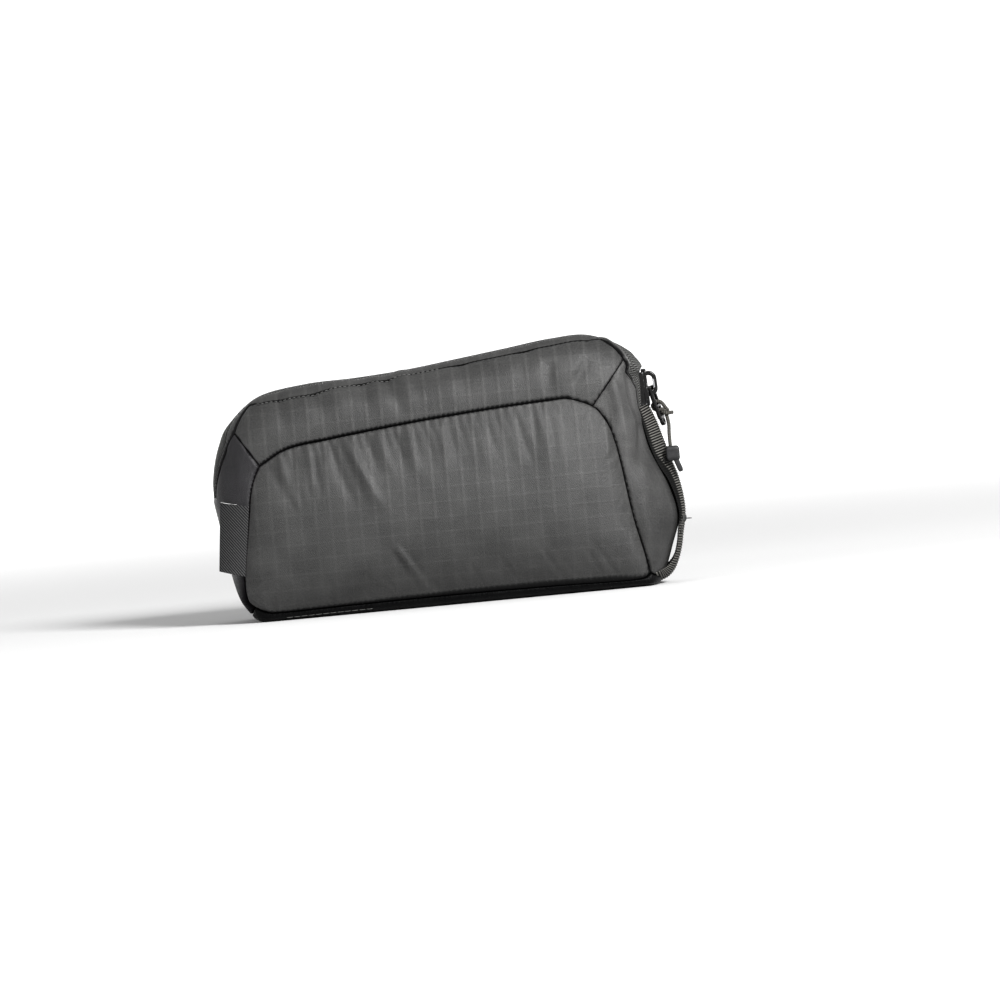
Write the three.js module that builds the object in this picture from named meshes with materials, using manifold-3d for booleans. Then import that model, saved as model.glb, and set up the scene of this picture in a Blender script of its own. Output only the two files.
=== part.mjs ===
// A zipped top tube bag: cloth side panels, top bands, end gussets and base sewn into a rounded shell,
// a coil zip over the top with its slider, puller and pull cord, a webbing strap down the front and a
// small woven label in the rear seam. Millimetres, +Z up, +X towards the front of the bicycle, origin
// under the middle of the bag on the surface that it stands on.
import * as THREE from "three";
import { mergeVertices } from "three/addons/utils/BufferGeometryUtils.js";
import Module from "manifold-3d";

const wasm = await Module();
wasm.setup();

// Cloth walls and the spaces between pieces.
const WALL = 2.0;
const STRIP_WALL = 1.2;
const SEAM_SHIFT = 0.2;
const CLEARANCE = 0.3;
const PANEL_BULGE = 3.6;
const PANEL_ROUNDING = 0.5;

// Grid cells along the bag, up each end, and across the half section of the strip that goes round it.
const CELLS_LONG = 28;
const CELLS_END = 16;
const CELLS_BAND = 3;
const CELLS_STRIP = 2;
const CELLS_TAPE = 1;

// The strip that goes round the bag from the rear of the base, over the top, to the front of the base,
// as sections: its seam with the side panel, its crown on the middle plane, half the width of the zip
// opening, and how square the section is between seam and crown (2 is an ellipse).
const SECTION_COLUMNS = ["seamX", "seamZ", "seamHalf", "crownX", "crownZ", "zipHalf", "square"];
const SECTION_ROWS = [
  [-80.6, 5.0, 18.0, -83.0, 2.8, 8.0, 2.0],
  [-83.4, 9.5, 19.2, -86.6, 8.6, 8.0, 2.0],
  [-83.9, 17.0, 19.8, -89.0, 17.0, 8.0, 2.0],
  [-82.7, 26.0, 20.2, -90.6, 27.0, 8.0, 2.0],
  [-81.0, 36.0, 20.3, -92.2, 38.5, 8.0, 2.0],
  [-79.4, 46.0, 20.0, -94.0, 51.0, 8.5, 2.0],
  [-78.2, 52.5, 19.6, -93.0, 61.5, 10.5, 2.0],
  [-76.4, 57.8, 19.0, -90.0, 71.5, 12.0, 2.1],
  [-74.1, 62.2, 18.6, -85.3, 79.6, 12.5, 2.2],
  [-62.2, 68.2, 19.6, -72.5, 89.6, 12.8, 2.3],
  [-46.0, 70.5, 20.6, -53.0, 93.0, 13.0, 2.4],
  [-29.0, 72.4, 21.3, -33.0, 93.6, 12.5, 2.4],
  [-12.0, 74.1, 21.7, -13.0, 94.9, 12.2, 2.4],
  [5.0, 75.5, 21.8, 7.0, 97.2, 12.2, 2.4],
  [22.0, 76.7, 21.5, 27.0, 99.6, 12.5, 2.4],
  [37.0, 77.5, 20.9, 46.0, 101.9, 12.8, 2.4],
  [50.1, 78.0, 20.0, 62.0, 101.8, 12.8, 2.4],
  [60.5, 73.6, 18.8, 77.2, 94.0, 12.0, 2.2],
  [65.2, 67.6, 18.6, 80.4, 83.0, 11.0, 1.9],
  [67.8, 60.5, 18.9, 81.0, 71.5, 9.5, 1.7],
  [69.6, 50.5, 19.4, 82.4, 57.0, 8.0, 1.7],
  [71.1, 39.0, 19.8, 88.2, 41.5, 8.0, 1.9],
  [72.9, 27.0, 20.0, 91.2, 27.5, 8.0, 2.0],
  [75.6, 14.5, 19.6, 87.2, 14.5, 8.0, 2.0],
  [77.4, 5.0, 18.0, 82.8, 2.6, 8.0, 2.0],
];
const REAR_TOP_ROW = 8;
const FRONT_TOP_ROW = 16;
const ZIP_REAR_ROW = 5;
const FRONT_DIAGONAL_ROW = 17;
const ZIP_FRONT_ROW = 19;

// The seam between side panel and base, from the rear corner to the front corner.
const BASE_SEAM_COLUMNS = ["x", "z", "half"];
const BASE_SEAM_ROWS = [
  [-80.6, 5.0, 18.0],
  [-76.4, 3.4, 20.0],
  [-44.0, 3.6, 21.2],
  [-4.0, 3.9, 21.8],
  [35.0, 3.6, 21.2],
  [70.5, 2.9, 20.0],
  [77.4, 5.0, 18.0],
];
const BASE_RIM_LIFT = [1, 0.22];

// Creases pressed into each side panel: where each starts and ends, how wide and how deep it is.
const FOLD_COLUMNS = ["topX", "topZ", "bottomX", "bottomZ", "width", "depth"];
const FOLD_ROWS = [
  [-37.0, 70.0, -27.0, 41.0, 4.5, 2.8],
  [-23.0, 28.0, -11.0, 7.0, 4.5, 2.2],
  [-64.0, 68.0, -55.0, 42.0, 5.0, 2.2],
  [-50.0, 71.0, -43.0, 48.0, 4.5, 1.8],
  [-15.0, 75.0, -8.0, 50.0, 4.5, 1.6],
  [8.0, 76.5, 12.0, 52.0, 5.0, 1.4],
  [40.0, 78.5, 38.0, 56.0, 5.0, 1.2],
];

// The zip: coil, tape and slider. Depths are below the outer face of the cloth.
const TAPE_EDGE_SHARE = 0.5;
const TAPE_HIDDEN_SHARE = 0.8;
const TAPE_DEPTH = 1.7;
const TAPE_WALL = 0.9;
const COIL_HALF_WIDTH = 2.6;
const COIL_HALF_HEIGHT = 1.0;
const COIL_DEPTH = 0.9;
const COIL_SIDES = 8;
const SLIDER_ROW = 18.32;
const SLIDER_PLATE = { low: 0.5, high: 1.7, up: 6.5, down: 6.2, tailHalf: 3.2, noseHalf: 4.4 };
const SLIDER_BACK = { low: -4.6, high: -3.5, up: 6.0, down: 6.0, tailHalf: 3.0, noseHalf: 4.0 };
const SLIDER_NECK = { low: -3.7, high: 0.7, up: -2.0, down: 4.5, half: 2.0 };
const BRIDGE = { foot: 1.5, reach: 5.9, up: 5.2, down: 4.6, bar: 1.3, half: 1.3, corner: 2.2 };
const COIL_END = -1.5;

// The puller tab hangs from a cross bar inside the bridge and leans out over the strap.
const HINGE = { x: 84.3, z: 78.6 };
const TAB_LEAN = THREE.MathUtils.degToRad(14.45);
const TAB = { half: 2.7, thick: 1.2, top: 0.6, length: 16.4, cut: 0.4 };
const TAB_SLOTS = [
  { from: 0.6, to: 7.7, half: 1.7 },
  { from: 8.5, to: 12.4, half: 1.5 },
];
const TAB_EYE = { at: 14.5, radius: 0.8 };

// The pull cord, as points of its middle line: a loop through the tab, a knot, and a hanging strand.
const CORD_DIAMETER = 1.4;
const CORD_SIDES = 8;
const LOOP_POINTS = [
  [89.4, 0, 69.2],
  [89.1, 0, 70.5],
  [88.1, 0, 71.9],
  [86.9, 0, 72.5],
  [85.5, 0, 72.2],
  [84.5, 0, 70.9],
  [85.1, 0, 69.3],
  [86.9, 0, 68.3],
  [88.3, 0, 67.9],
];
const LOOP_STEPS = 20;
const KNOT = { x: 89.7, z: 67.7, radius: 1.15, tail: 2.3 };
const STRAND_POINTS = [
  [89.8, -0.4, 66.2],
  [90.5, -1.8, 63.0],
  [90.8, -3.8, 60.0],
  [91.0, -5.8, 57.2],
  [91.2, -7.0, 54.9],
];
const STRAND_STEPS = 10;
const CORD_END = { x: 91.4, y: -7.2, z: 51.7, wide: 4.6, deep: 4.4, tall: 5.4, bevel: 0.6 };
const CORD_END_TAIL = { wide: 1.6, deep: 3.4, length: 7.5, lean: 0.33, out: 0.9, drop: 3.9 };

// The webbing strap, as points of the outer face on the middle plane, from the zip's lower end to the
// base. Its edges bend back towards the bag by the cup.
const STRAP_COLUMNS = ["x", "z", "cup", "half"];
const STRAP_ROWS = [
  [83.0, 71.9, 2.6, 8.5],
  [85.6, 64.0, 3.8, 8.0],
  [87.9, 56.5, 4.0, 8.0],
  [90.3, 49.5, 3.0, 7.5],
  [92.5, 42.5, 2.2, 7.5],
  [93.8, 35.0, 1.8, 7.5],
  [94.0, 28.5, 1.6, 7.5],
  [93.2, 23.5, 1.2, 7.5],
  [92.2, 19.0, 0.8, 7.5],
  [91.3, 14.5, 0.8, 7.5],
  [89.7, 9.5, 1.0, 7.5],
  [87.4, 5.0, 1.2, 7.5],
  [84.8, 2.4, 1.0, 7.5],
];
const STRAP_THICK = 1.5;
const STRAP_STEPS = 36;
const STRAP_CELLS = 4;

// The label: its edge in the seam, its free edge, and how far it bows away from the gusset.
const LABEL = {
  seamLow: [-84.4, -20.9, 19.1],
  seamHigh: [-80.2, -21.2, 46.8],
  freeLow: [-93.6, -18.0, 21.9],
  freeHigh: [-90.8, -15.2, 49.2],
  thick: 0.8,
  bow: 1.3,
  cellsLong: 6,
  cellsWide: 3,
};

const FINISH = {
  ripstop: { color: 0x4b4b4d, roughness: 0.7, metalness: 0 },
  gusset: { color: 0x434346, roughness: 0.7, metalness: 0 },
  base: { color: 0x1b1b1d, roughness: 0.6, metalness: 0 },
  tape: { color: 0x3a3a3b, roughness: 0.8, metalness: 0 },
  coil: { color: 0x2b2b2c, roughness: 0.5, metalness: 0 },
  metal: { color: 0x2a2a2c, roughness: 0.35, metalness: 0.9 },
  cord: { color: 0x5b5955, roughness: 0.8, metalness: 0 },
  rubber: { color: 0x3d3e40, roughness: 0.55, metalness: 0 },
  webbing: { color: 0x55534f, roughness: 0.8, metalness: 0 },
  label: { color: 0x39383a, roughness: 0.8, metalness: 0 },
};

const bag = new THREE.Group();

function addPiece(name, geometry, finish, parent = bag) {
  const piece = new THREE.Mesh(geometry, new THREE.MeshStandardMaterial(finish));
  piece.name = name;
  parent.add(piece);
}

function table(columns, rows) {
  return rows.map((row) => Object.fromEntries(columns.map((column, i) => [column, row[i]])));
}

const SECTIONS = table(SECTION_COLUMNS, SECTION_ROWS);
const LAST_ROW = SECTIONS.length - 1;

// A smooth curve through the given sections, read at a row number that may lie between two rows.
function alongSections(pick, first = 0, last = LAST_ROW) {
  const curve = new THREE.CatmullRomCurve3(SECTIONS.slice(first, last + 1).map(pick));
  return (row) => curve.getPoint((row - first) / (last - first));
}

// The seam turns a corner at the top of each end, so it is three curves.
const seamPick = (s) => new THREE.Vector3(s.seamX, s.seamHalf, s.seamZ);
const rearSeam = alongSections(seamPick, 0, REAR_TOP_ROW);
const topSeam = alongSections(seamPick, REAR_TOP_ROW, FRONT_TOP_ROW);
const frontSeam = alongSections(seamPick, FRONT_TOP_ROW, LAST_ROW);
const crownAt = alongSections((s) => new THREE.Vector3(s.crownX, 0, s.crownZ));
const shapeAt = alongSections((s) => new THREE.Vector3(s.zipHalf, s.square, 0));

function seamAt(row) {
  if (row <= REAR_TOP_ROW) return rearSeam(row);
  return row <= FRONT_TOP_ROW ? topSeam(row) : frontSeam(row);
}

// A point of the strip's section: angle 0 is the right seam, a quarter turn the crown, and a half turn
// the left seam. The section is a superellipse between seam and crown.
function stripPoint(row, angle) {
  const seam = seamAt(row);
  const crown = crownAt(row);
  const power = 2 / shapeAt(row).y;
  const rise = Math.sin(angle) ** power;
  const side = Math.sign(angle - Math.PI / 2);
  const half = Math.abs(Math.cos(angle)) ** power * seam.y * side;
  return new THREE.Vector3(
    THREE.MathUtils.lerp(seam.x, crown.x, rise),
    half,
    THREE.MathUtils.lerp(seam.z, crown.z, rise),
  );
}

// The angle on the right half at which the section is a given distance from the middle plane.
function angleAtHalf(row, half) {
  return Math.acos((half / seamAt(row).y) ** (shapeAt(row).y / 2));
}

// The strip's outward direction, from two short steps along it and across it.
function stripNormal(row, angle) {
  const step = 0.02;
  const before = Math.max(row - step, 0);
  const after = Math.min(row + step, LAST_ROW);
  const along = stripPoint(after, angle).sub(stripPoint(before, angle));
  const across = stripPoint(row, angle + step).sub(stripPoint(row, angle - step));
  return across.cross(along).normalize().negate();
}

function evenly(from, to, cells) {
  return Array.from({ length: cells + 1 }, (_, i) => from + ((to - from) * i) / cells);
}

// The strip's columns: seam, upper seam, edge of the zip tape, crown, and the same on the left.
function columnAngles(row) {
  const zipHalf = shapeAt(row).x;
  const upper = angleAtHalf(row, zipHalf);
  const tape = angleAtHalf(row, zipHalf * TAPE_EDGE_SHARE);
  const right = [
    ...evenly(0, upper, CELLS_BAND),
    ...evenly(upper, tape, CELLS_STRIP).slice(1),
    ...evenly(tape, Math.PI / 2, CELLS_TAPE).slice(1),
  ];
  const left = right.slice(0, -1).reverse();
  return [...right, ...left.map((angle) => Math.PI - angle)];
}

const STRIP_ROWS = [
  ...evenly(0, REAR_TOP_ROW, CELLS_END),
  ...evenly(REAR_TOP_ROW, FRONT_TOP_ROW, CELLS_LONG).slice(1),
  ...evenly(FRONT_TOP_ROW, LAST_ROW, CELLS_END).slice(1),
];
const stripGrid = STRIP_ROWS.map((row) => columnAngles(row).map((angle) => stripPoint(row, angle)));
const ACROSS = stripGrid[0].length - 1;
const gridRow = (row) => STRIP_ROWS.findIndex((value) => Math.abs(value - row) < 1e-6);

// A patch between four edges that meet at its corners: the sum of the two ruled surfaces less the
// surface through the corners.
function patchBetween(low, high, first, last) {
  const long = low.length - 1;
  const wide = first.length - 1;
  return low.map((lowPoint, i) =>
    first.map((firstPoint, j) => {
      const u = i / long;
      const v = j / wide;
      const ruled = lowPoint.clone().lerp(high[i], v);
      const cross = firstPoint.clone().lerp(last[j], u);
      const cornersLow = low[0].clone().lerp(low[long], u);
      const cornersHigh = high[0].clone().lerp(high[long], u);
      return ruled.add(cross).sub(cornersLow.lerp(cornersHigh, v));
    }),
  );
}

// How far the creases press the side panel in at a place seen from the side.
const FOLDS = table(FOLD_COLUMNS, FOLD_ROWS);
function foldDepth(x, z) {
  let depth = 0;
  for (const fold of FOLDS) {
    const run = new THREE.Vector2(fold.bottomX - fold.topX, fold.bottomZ - fold.topZ);
    const reach = new THREE.Vector2(x - fold.topX, z - fold.topZ);
    const along = reach.dot(run) / run.lengthSq();
    const off = reach.cross(run) / run.length();
    const fade = Math.sin(Math.PI * THREE.MathUtils.clamp(along, 0, 1));
    depth += fold.depth * fade * Math.exp(-((off / fold.width) ** 2));
  }
  return depth;
}

const mirrored = (point) => new THREE.Vector3(point.x, -point.y, point.z);
const rightSeamColumn = stripGrid.map((row) => row[0]);
const baseSeamPoints = table(BASE_SEAM_COLUMNS, BASE_SEAM_ROWS).map(
  (s) => new THREE.Vector3(s.x, -s.half, s.z),
);
const baseSeam = new THREE.CatmullRomCurve3(baseSeamPoints).getSpacedPoints(CELLS_LONG);

// The right side panel lies between the base seam, the strip's top and its two ends. It swells between
// the seams and the creases press it back in.
function sidePanelGrid() {
  const rear = rightSeamColumn.slice(0, CELLS_END + 1);
  const top = rightSeamColumn.slice(CELLS_END, CELLS_END + CELLS_LONG + 1);
  const front = rightSeamColumn.slice(CELLS_END + CELLS_LONG).reverse();
  const grid = patchBetween(baseSeam, top, rear, front);
  const hump = (t) => (4 * t * (1 - t)) ** PANEL_ROUNDING;
  grid.forEach((row, i) =>
    row.forEach((point, j) => {
      const swell = hump(i / CELLS_LONG) * hump(j / CELLS_END);
      point.y -= PANEL_BULGE * swell - foldDepth(point.x, point.z) * swell;
    }),
  );
  return grid;
}

// The base lies between the two base seams and the strip's two ends. It is flat inside its rim.
function baseGrid() {
  const rear = stripGrid[0];
  const front = stripGrid[stripGrid.length - 1];
  const grid = patchBetween(baseSeam, baseSeam.map(mirrored), rear, front);
  grid.forEach((row, i) =>
    row.forEach((point, j) => {
      const inset = Math.min(i, CELLS_LONG - i, j, ACROSS - j);
      point.z *= BASE_RIM_LIFT[inset] ?? 0;
    }),
  );
  return grid;
}

const rightPanel = sidePanelGrid();
const leftPanel = rightPanel.map((row) => row.map(mirrored));
const basePatch = baseGrid();

// Outward directions of the whole shell, shared where patches meet, so that walls are mitred at seams.
const INSIDE = new THREE.Vector3(0, 0, 50);
const pointKey = (point) => point.toArray().map((value) => value.toFixed(3)).join(" ");
function shellNormals(grids) {
  const sums = new Map();
  for (const grid of grids) {
    const faces = [];
    let facing = 0;
    for (let i = 0; i + 1 < grid.length; i++) {
      for (let j = 0; j + 1 < grid[0].length; j++) {
        const corners = [grid[i][j], grid[i + 1][j], grid[i + 1][j + 1], grid[i][j + 1]];
        const diagonal = corners[2].clone().sub(corners[0]);
        const normal = diagonal.cross(corners[3].clone().sub(corners[1]));
        facing += normal.dot(corners[0].clone().sub(INSIDE));
        faces.push({ corners, normal });
      }
    }
    for (const { corners, normal } of faces) {
      for (const corner of corners) {
        const key = pointKey(corner);
        if (!sums.has(key)) sums.set(key, new THREE.Vector3());
        sums.get(key).addScaledVector(normal, Math.sign(facing) / normal.length());
      }
    }
  }
  sums.forEach((sum) => sum.normalize());
  return sums;
}
const normals = shellNormals([stripGrid, rightPanel, leftPanel, basePatch]);

// The shift that opens a seam: a point on the edge of the chosen cells moves towards them.
function seamShift(grid, inCell, i, j) {
  const shift = new THREE.Vector3();
  const cells = [inCell(i - 1, j - 1), inCell(i - 1, j), inCell(i, j - 1), inCell(i, j)];
  const [lowLeft, lowRight, highLeft, highRight] = cells;
  const lone = cells.filter((cell) => !cell).length === 1;
  const towards = (di, dj) => {
    const step = grid[i + di][j + dj].clone().sub(grid[i][j]);
    shift.addScaledVector(step.normalize(), SEAM_SHIFT);
  };
  const gone = (a, b) => (lone ? !a || !b : !a && !b);
  if (gone(lowLeft, lowRight) && !gone(highLeft, highRight)) towards(1, 0);
  if (gone(highLeft, highRight) && !gone(lowLeft, lowRight)) towards(-1, 0);
  if (gone(lowLeft, highLeft) && !gone(lowRight, highRight)) towards(0, 1);
  if (gone(lowRight, highRight) && !gone(lowLeft, highLeft)) towards(0, -1);
  return shift;
}

// One closed wall from two matching grids: the chosen cells of the outer one, the same cells of the
// inner one, and a rim round them.
function closedWall(outer, inner, inCell) {
  const positions = [];
  const triangles = [];
  const numbers = new Map();
  const within = (i, j) => {
    const inside = i >= 0 && j >= 0 && i + 1 < outer.length && j + 1 < outer[0].length;
    return inside && inCell(i, j);
  };
  const vertex = (grid, i, j, side) => {
    const key = `${side} ${i} ${j}`;
    if (!numbers.has(key)) {
      numbers.set(key, positions.length / 3);
      const point = grid[i][j].clone().add(seamShift(grid, within, i, j));
      positions.push(...point.toArray());
    }
    return numbers.get(key);
  };
  const quad = (a, b, c, d) => triangles.push(a, b, c, a, c, d);
  const rim = (i, j, k, l) =>
    quad(
      vertex(outer, k, l, "outer"),
      vertex(outer, i, j, "outer"),
      vertex(inner, i, j, "inner"),
      vertex(inner, k, l, "inner"),
    );
  for (let i = 0; i + 1 < outer.length; i++) {
    for (let j = 0; j + 1 < outer[0].length; j++) {
      if (!within(i, j)) continue;
      const corners = [[i, j], [i + 1, j], [i + 1, j + 1], [i, j + 1]];
      quad(...corners.map(([a, b]) => vertex(outer, a, b, "outer")));
      quad(...corners.map(([a, b]) => vertex(inner, a, b, "inner")).reverse());
      if (!within(i, j - 1)) rim(i, j, i + 1, j);
      if (!within(i + 1, j)) rim(i + 1, j, i + 1, j + 1);
      if (!within(i, j + 1)) rim(i + 1, j + 1, i, j + 1);
      if (!within(i - 1, j)) rim(i, j + 1, i, j);
    }
  }
  return outwardGeometry(positions, triangles);
}

// A geometry whose triangles face out: they are all turned round where the volume comes out negative.
function outwardGeometry(positions, triangles) {
  const at = (n) => new THREE.Vector3().fromArray(positions, 3 * n);
  let volume = 0;
  for (let t = 0; t < triangles.length; t += 3) {
    const [a, b, c] = triangles.slice(t, t + 3).map(at);
    volume += a.dot(b.cross(c));
  }
  const geometry = new THREE.BufferGeometry();
  geometry.setAttribute("position", new THREE.Float32BufferAttribute(positions, 3));
  geometry.setIndex(volume < 0 ? triangles.toReversed() : triangles);
  return geometry;
}

function clothWall(grid, wall, inCell = () => true) {
  const inner = grid.map((row) =>
    row.map((point) => point.clone().addScaledVector(normals.get(pointKey(point)), -wall)),
  );
  return closedWall(grid, inner, inCell);
}

// Side panels, base, gussets, top bands and zip strips.
const rearTop = gridRow(REAR_TOP_ROW);
const frontDiagonal = gridRow(FRONT_DIAGONAL_ROW);
const zipRear = gridRow(ZIP_REAR_ROW);
const zipFront = gridRow(ZIP_FRONT_ROW);
const upperColumn = CELLS_BAND;
const tapeColumn = CELLS_BAND + CELLS_STRIP;
const inZip = (i, j) => i >= zipRear && i < zipFront && j >= upperColumn && j < ACROSS - upperColumn;
const fromRight = (j) => Math.min(j, ACROSS - 1 - j);

addPiece("side_panel_right", clothWall(rightPanel, WALL), FINISH.ripstop);
addPiece("side_panel_left", clothWall(leftPanel, WALL), FINISH.ripstop);
addPiece("base_panel", clothWall(basePatch, WALL), FINISH.base);
const inRear = (i, j) => i < rearTop && !inZip(i, j);
const inFront = (i, j) => i >= frontDiagonal && !inZip(i, j);
addPiece("rear_gusset", clothWall(stripGrid, WALL, inRear), FINISH.gusset);
addPiece("front_gusset", clothWall(stripGrid, WALL, inFront), FINISH.gusset);
for (const side of ["right", "left"]) {
  const onSide = (j) => j < ACROSS / 2 === (side === "right");
  const inBand = (i, j) =>
    i >= rearTop && i < frontDiagonal && onSide(j) && fromRight(j) < upperColumn;
  const inStrip = (i, j) => inZip(i, j) && onSide(j) && fromRight(j) < tapeColumn;
  addPiece(`top_band_${side}`, clothWall(stripGrid, WALL, inBand), FINISH.ripstop);
  addPiece(`zip_strip_${side}`, clothWall(stripGrid, STRIP_WALL, inStrip), FINISH.ripstop);
}

// The zip tapes lie below the strips, from under each strip to the coil.
function tapeGrid(depth, side) {
  return STRIP_ROWS.slice(zipRear, zipFront + 1).map((row) => {
    const zipHalf = shapeAt(row).x;
    const inner = COIL_HALF_WIDTH + CLEARANCE;
    const halves = [zipHalf * TAPE_HIDDEN_SHARE, zipHalf * TAPE_EDGE_SHARE, inner];
    return halves.map((half) => {
      const right = angleAtHalf(row, half);
      const angle = side === "right" ? right : Math.PI - right;
      return stripPoint(row, angle).addScaledVector(stripNormal(row, angle), -depth);
    });
  });
}
for (const side of ["right", "left"]) {
  const outer = tapeGrid(TAPE_DEPTH, side);
  const inner = tapeGrid(TAPE_DEPTH + TAPE_WALL, side);
  addPiece(`zip_tape_${side}`, closedWall(outer, inner, () => true), FINISH.tape);
}

// A closed solid through rings of equal size, each a convex outline.
function ringSolid(rings) {
  const sides = rings[0].length;
  const positions = rings.flat().flatMap((point) => point.toArray());
  const triangles = [];
  for (let i = 0; i + 1 < rings.length; i++) {
    for (let j = 0; j < sides; j++) {
      const a = i * sides + j;
      const b = i * sides + ((j + 1) % sides);
      triangles.push(a, b, b + sides, a, b + sides, a + sides);
    }
  }
  const end = (rings.length - 1) * sides;
  for (let j = 1; j + 1 < sides; j++) {
    triangles.push(0, j + 1, j);
    triangles.push(end, end + j, end + j + 1);
  }
  return outwardGeometry(positions, triangles);
}

// The place and directions of the zip on the middle plane: outward, and up along the zip.
const CROWN = Math.PI / 2;
function zipFrame(row) {
  const origin = crownAt(row);
  const out = stripNormal(row, CROWN);
  const up = new THREE.Vector3(-out.z, 0, out.x);
  return { origin, out, up };
}

// The coil, closed from the rear end of the zip to the slider's neck.
const slider = zipFrame(SLIDER_ROW);
const rowsPerMm = 1 / crownAt(SLIDER_ROW).distanceTo(crownAt(SLIDER_ROW + 1));
const coilEnd = SLIDER_ROW - COIL_END * rowsPerMm;
const coilStart = ZIP_REAR_ROW + 2 * CLEARANCE * rowsPerMm;
const coilRows = [coilStart, ...STRIP_ROWS.filter((row) => row > coilStart && row < coilEnd), coilEnd];
const coilRings = coilRows.map((row) => {
  const { origin, out } = zipFrame(row);
  return evenly(0, 2 * Math.PI, COIL_SIDES).slice(1).map((turn) => {
    const height = COIL_HALF_HEIGHT * Math.sin(turn) - COIL_DEPTH;
    const point = origin.clone().addScaledVector(out, height);
    point.y += COIL_HALF_WIDTH * Math.cos(turn);
    return point;
  });
});
addPiece("zip_coil", ringSolid(coilRings), FINISH.coil);

function solidFrom(geometry) {
  const bare = geometry.clone();
  bare.deleteAttribute("normal");
  bare.deleteAttribute("uv");
  const merged = mergeVertices(bare, 1e-4);
  const vertProperties = new Float32Array(merged.attributes.position.array);
  const triVerts = new Uint32Array(merged.index.array);
  return new wasm.Manifold(new wasm.Mesh({ numProp: 3, vertProperties, triVerts }));
}

function geometryFrom(solid) {
  const mesh = solid.getMesh();
  const geometry = new THREE.BufferGeometry();
  geometry.setAttribute("position", new THREE.BufferAttribute(mesh.vertProperties, 3));
  geometry.setIndex(new THREE.BufferAttribute(mesh.triVerts, 1));
  return geometry;
}

function joined(...geometries) {
  const [first, ...rest] = geometries.map(solidFrom);
  return geometryFrom(rest.reduce((whole, next) => whole.add(next), first));
}

// Ways to stand an extrusion: its outline across Y and Z and its thickness along X, or its outline in
// X and Z and its thickness across Y.
const AXIS_X = new THREE.Vector3(1, 0, 0);
const AXIS_Y = new THREE.Vector3(0, 1, 0);
const AXIS_Z = new THREE.Vector3(0, 0, 1);
const thickAlongX = new THREE.Matrix4().makeBasis(AXIS_Y, AXIS_Z, AXIS_X);
const thickAlongY = new THREE.Matrix4().makeBasis(AXIS_X, AXIS_Z, AXIS_Y.clone().negate());

function outline(points) {
  return new THREE.Shape(points.map(([a, b]) => new THREE.Vector2(a, b)));
}

function slab(shape, thick, stand, offset) {
  const geometry = new THREE.ExtrudeGeometry(shape, { depth: thick, bevelEnabled: false, curveSegments: 6 });
  return geometry.applyMatrix4(stand).translate(offset.x ?? 0, offset.y ?? 0, offset.z ?? 0);
}

// A slider plate: narrow where the closed chain leaves it, wide at its nose, with cut corners.
function sliderPlate(plate) {
  const cut = 1.2;
  const right = [
    [plate.tailHalf - cut, plate.up],
    [plate.tailHalf, plate.up - cut],
    [plate.noseHalf, -plate.down / 2],
    [plate.noseHalf, cut - plate.down],
    [plate.noseHalf - cut, -plate.down],
  ];
  const left = right.map(([y, z]) => [-y, z]).reverse();
  return slab(outline([...right, ...left]), plate.high - plate.low, thickAlongX, { x: plate.low });
}

function sliderNeck() {
  const { low, high, up, down, half } = SLIDER_NECK;
  const shape = outline([[-half, -down], [half, -down], [half, up], [-half, up]]);
  return slab(shape, high - low, thickAlongX, { x: low });
}

// The bridge: an arch over the outer plate, open through its middle.
function sliderBridge() {
  const { foot, reach, up, down, bar, half, corner } = BRIDGE;
  const shape = outline([
    [foot, -down],
    [reach - corner, -down],
    [reach, corner - down],
    [reach, up - corner],
    [reach - corner, up],
    [foot, up],
    [foot, up - bar],
    [reach - corner, up - bar],
    [reach - bar, up - corner],
    [reach - bar, corner - down],
    [reach - corner, bar - down],
    [foot, bar - down],
  ]);
  return slab(shape, 2 * half, thickAlongY, { y: half });
}

const sliderGroup = new THREE.Group();
sliderGroup.position.copy(slider.origin);
sliderGroup.rotation.y = Math.atan2(slider.up.x, slider.up.z);
bag.add(sliderGroup);
const sliderBody = joined(
  sliderPlate(SLIDER_PLATE),
  sliderPlate(SLIDER_BACK),
  sliderNeck(),
  sliderBridge(),
);
addPiece("zip_slider", sliderBody, FINISH.metal, sliderGroup);

// The puller: a flat tab with a slot that straddles the bridge, a slot for the cord and a round eye.
function pullerTab() {
  const round = TAB.half;
  const shape = new THREE.Shape();
  shape.moveTo(-TAB.half, TAB.top - TAB.cut);
  shape.lineTo(-TAB.half, round - TAB.length);
  shape.absarc(0, round - TAB.length, round, Math.PI, 2 * Math.PI, false);
  shape.lineTo(TAB.half, TAB.top - TAB.cut);
  shape.lineTo(TAB.half - TAB.cut, TAB.top);
  shape.lineTo(TAB.cut - TAB.half, TAB.top);
  for (const { from, to, half } of TAB_SLOTS) {
    const hole = new THREE.Path();
    hole.moveTo(-half, -from);
    hole.lineTo(half, -from);
    hole.lineTo(half, -to);
    hole.lineTo(-half, -to);
    shape.holes.push(hole);
  }
  const eye = new THREE.Path();
  eye.absarc(0, -TAB_EYE.at, TAB_EYE.radius, 0, 2 * Math.PI, true);
  shape.holes.push(eye);
  return slab(shape, TAB.thick, thickAlongX, { x: -TAB.thick / 2 });
}

const pullerGroup = new THREE.Group();
pullerGroup.position.set(HINGE.x, 0, HINGE.z);
pullerGroup.rotation.y = -TAB_LEAN;
bag.add(pullerGroup);
addPiece("zip_puller", pullerTab(), FINISH.metal, pullerGroup);

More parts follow.
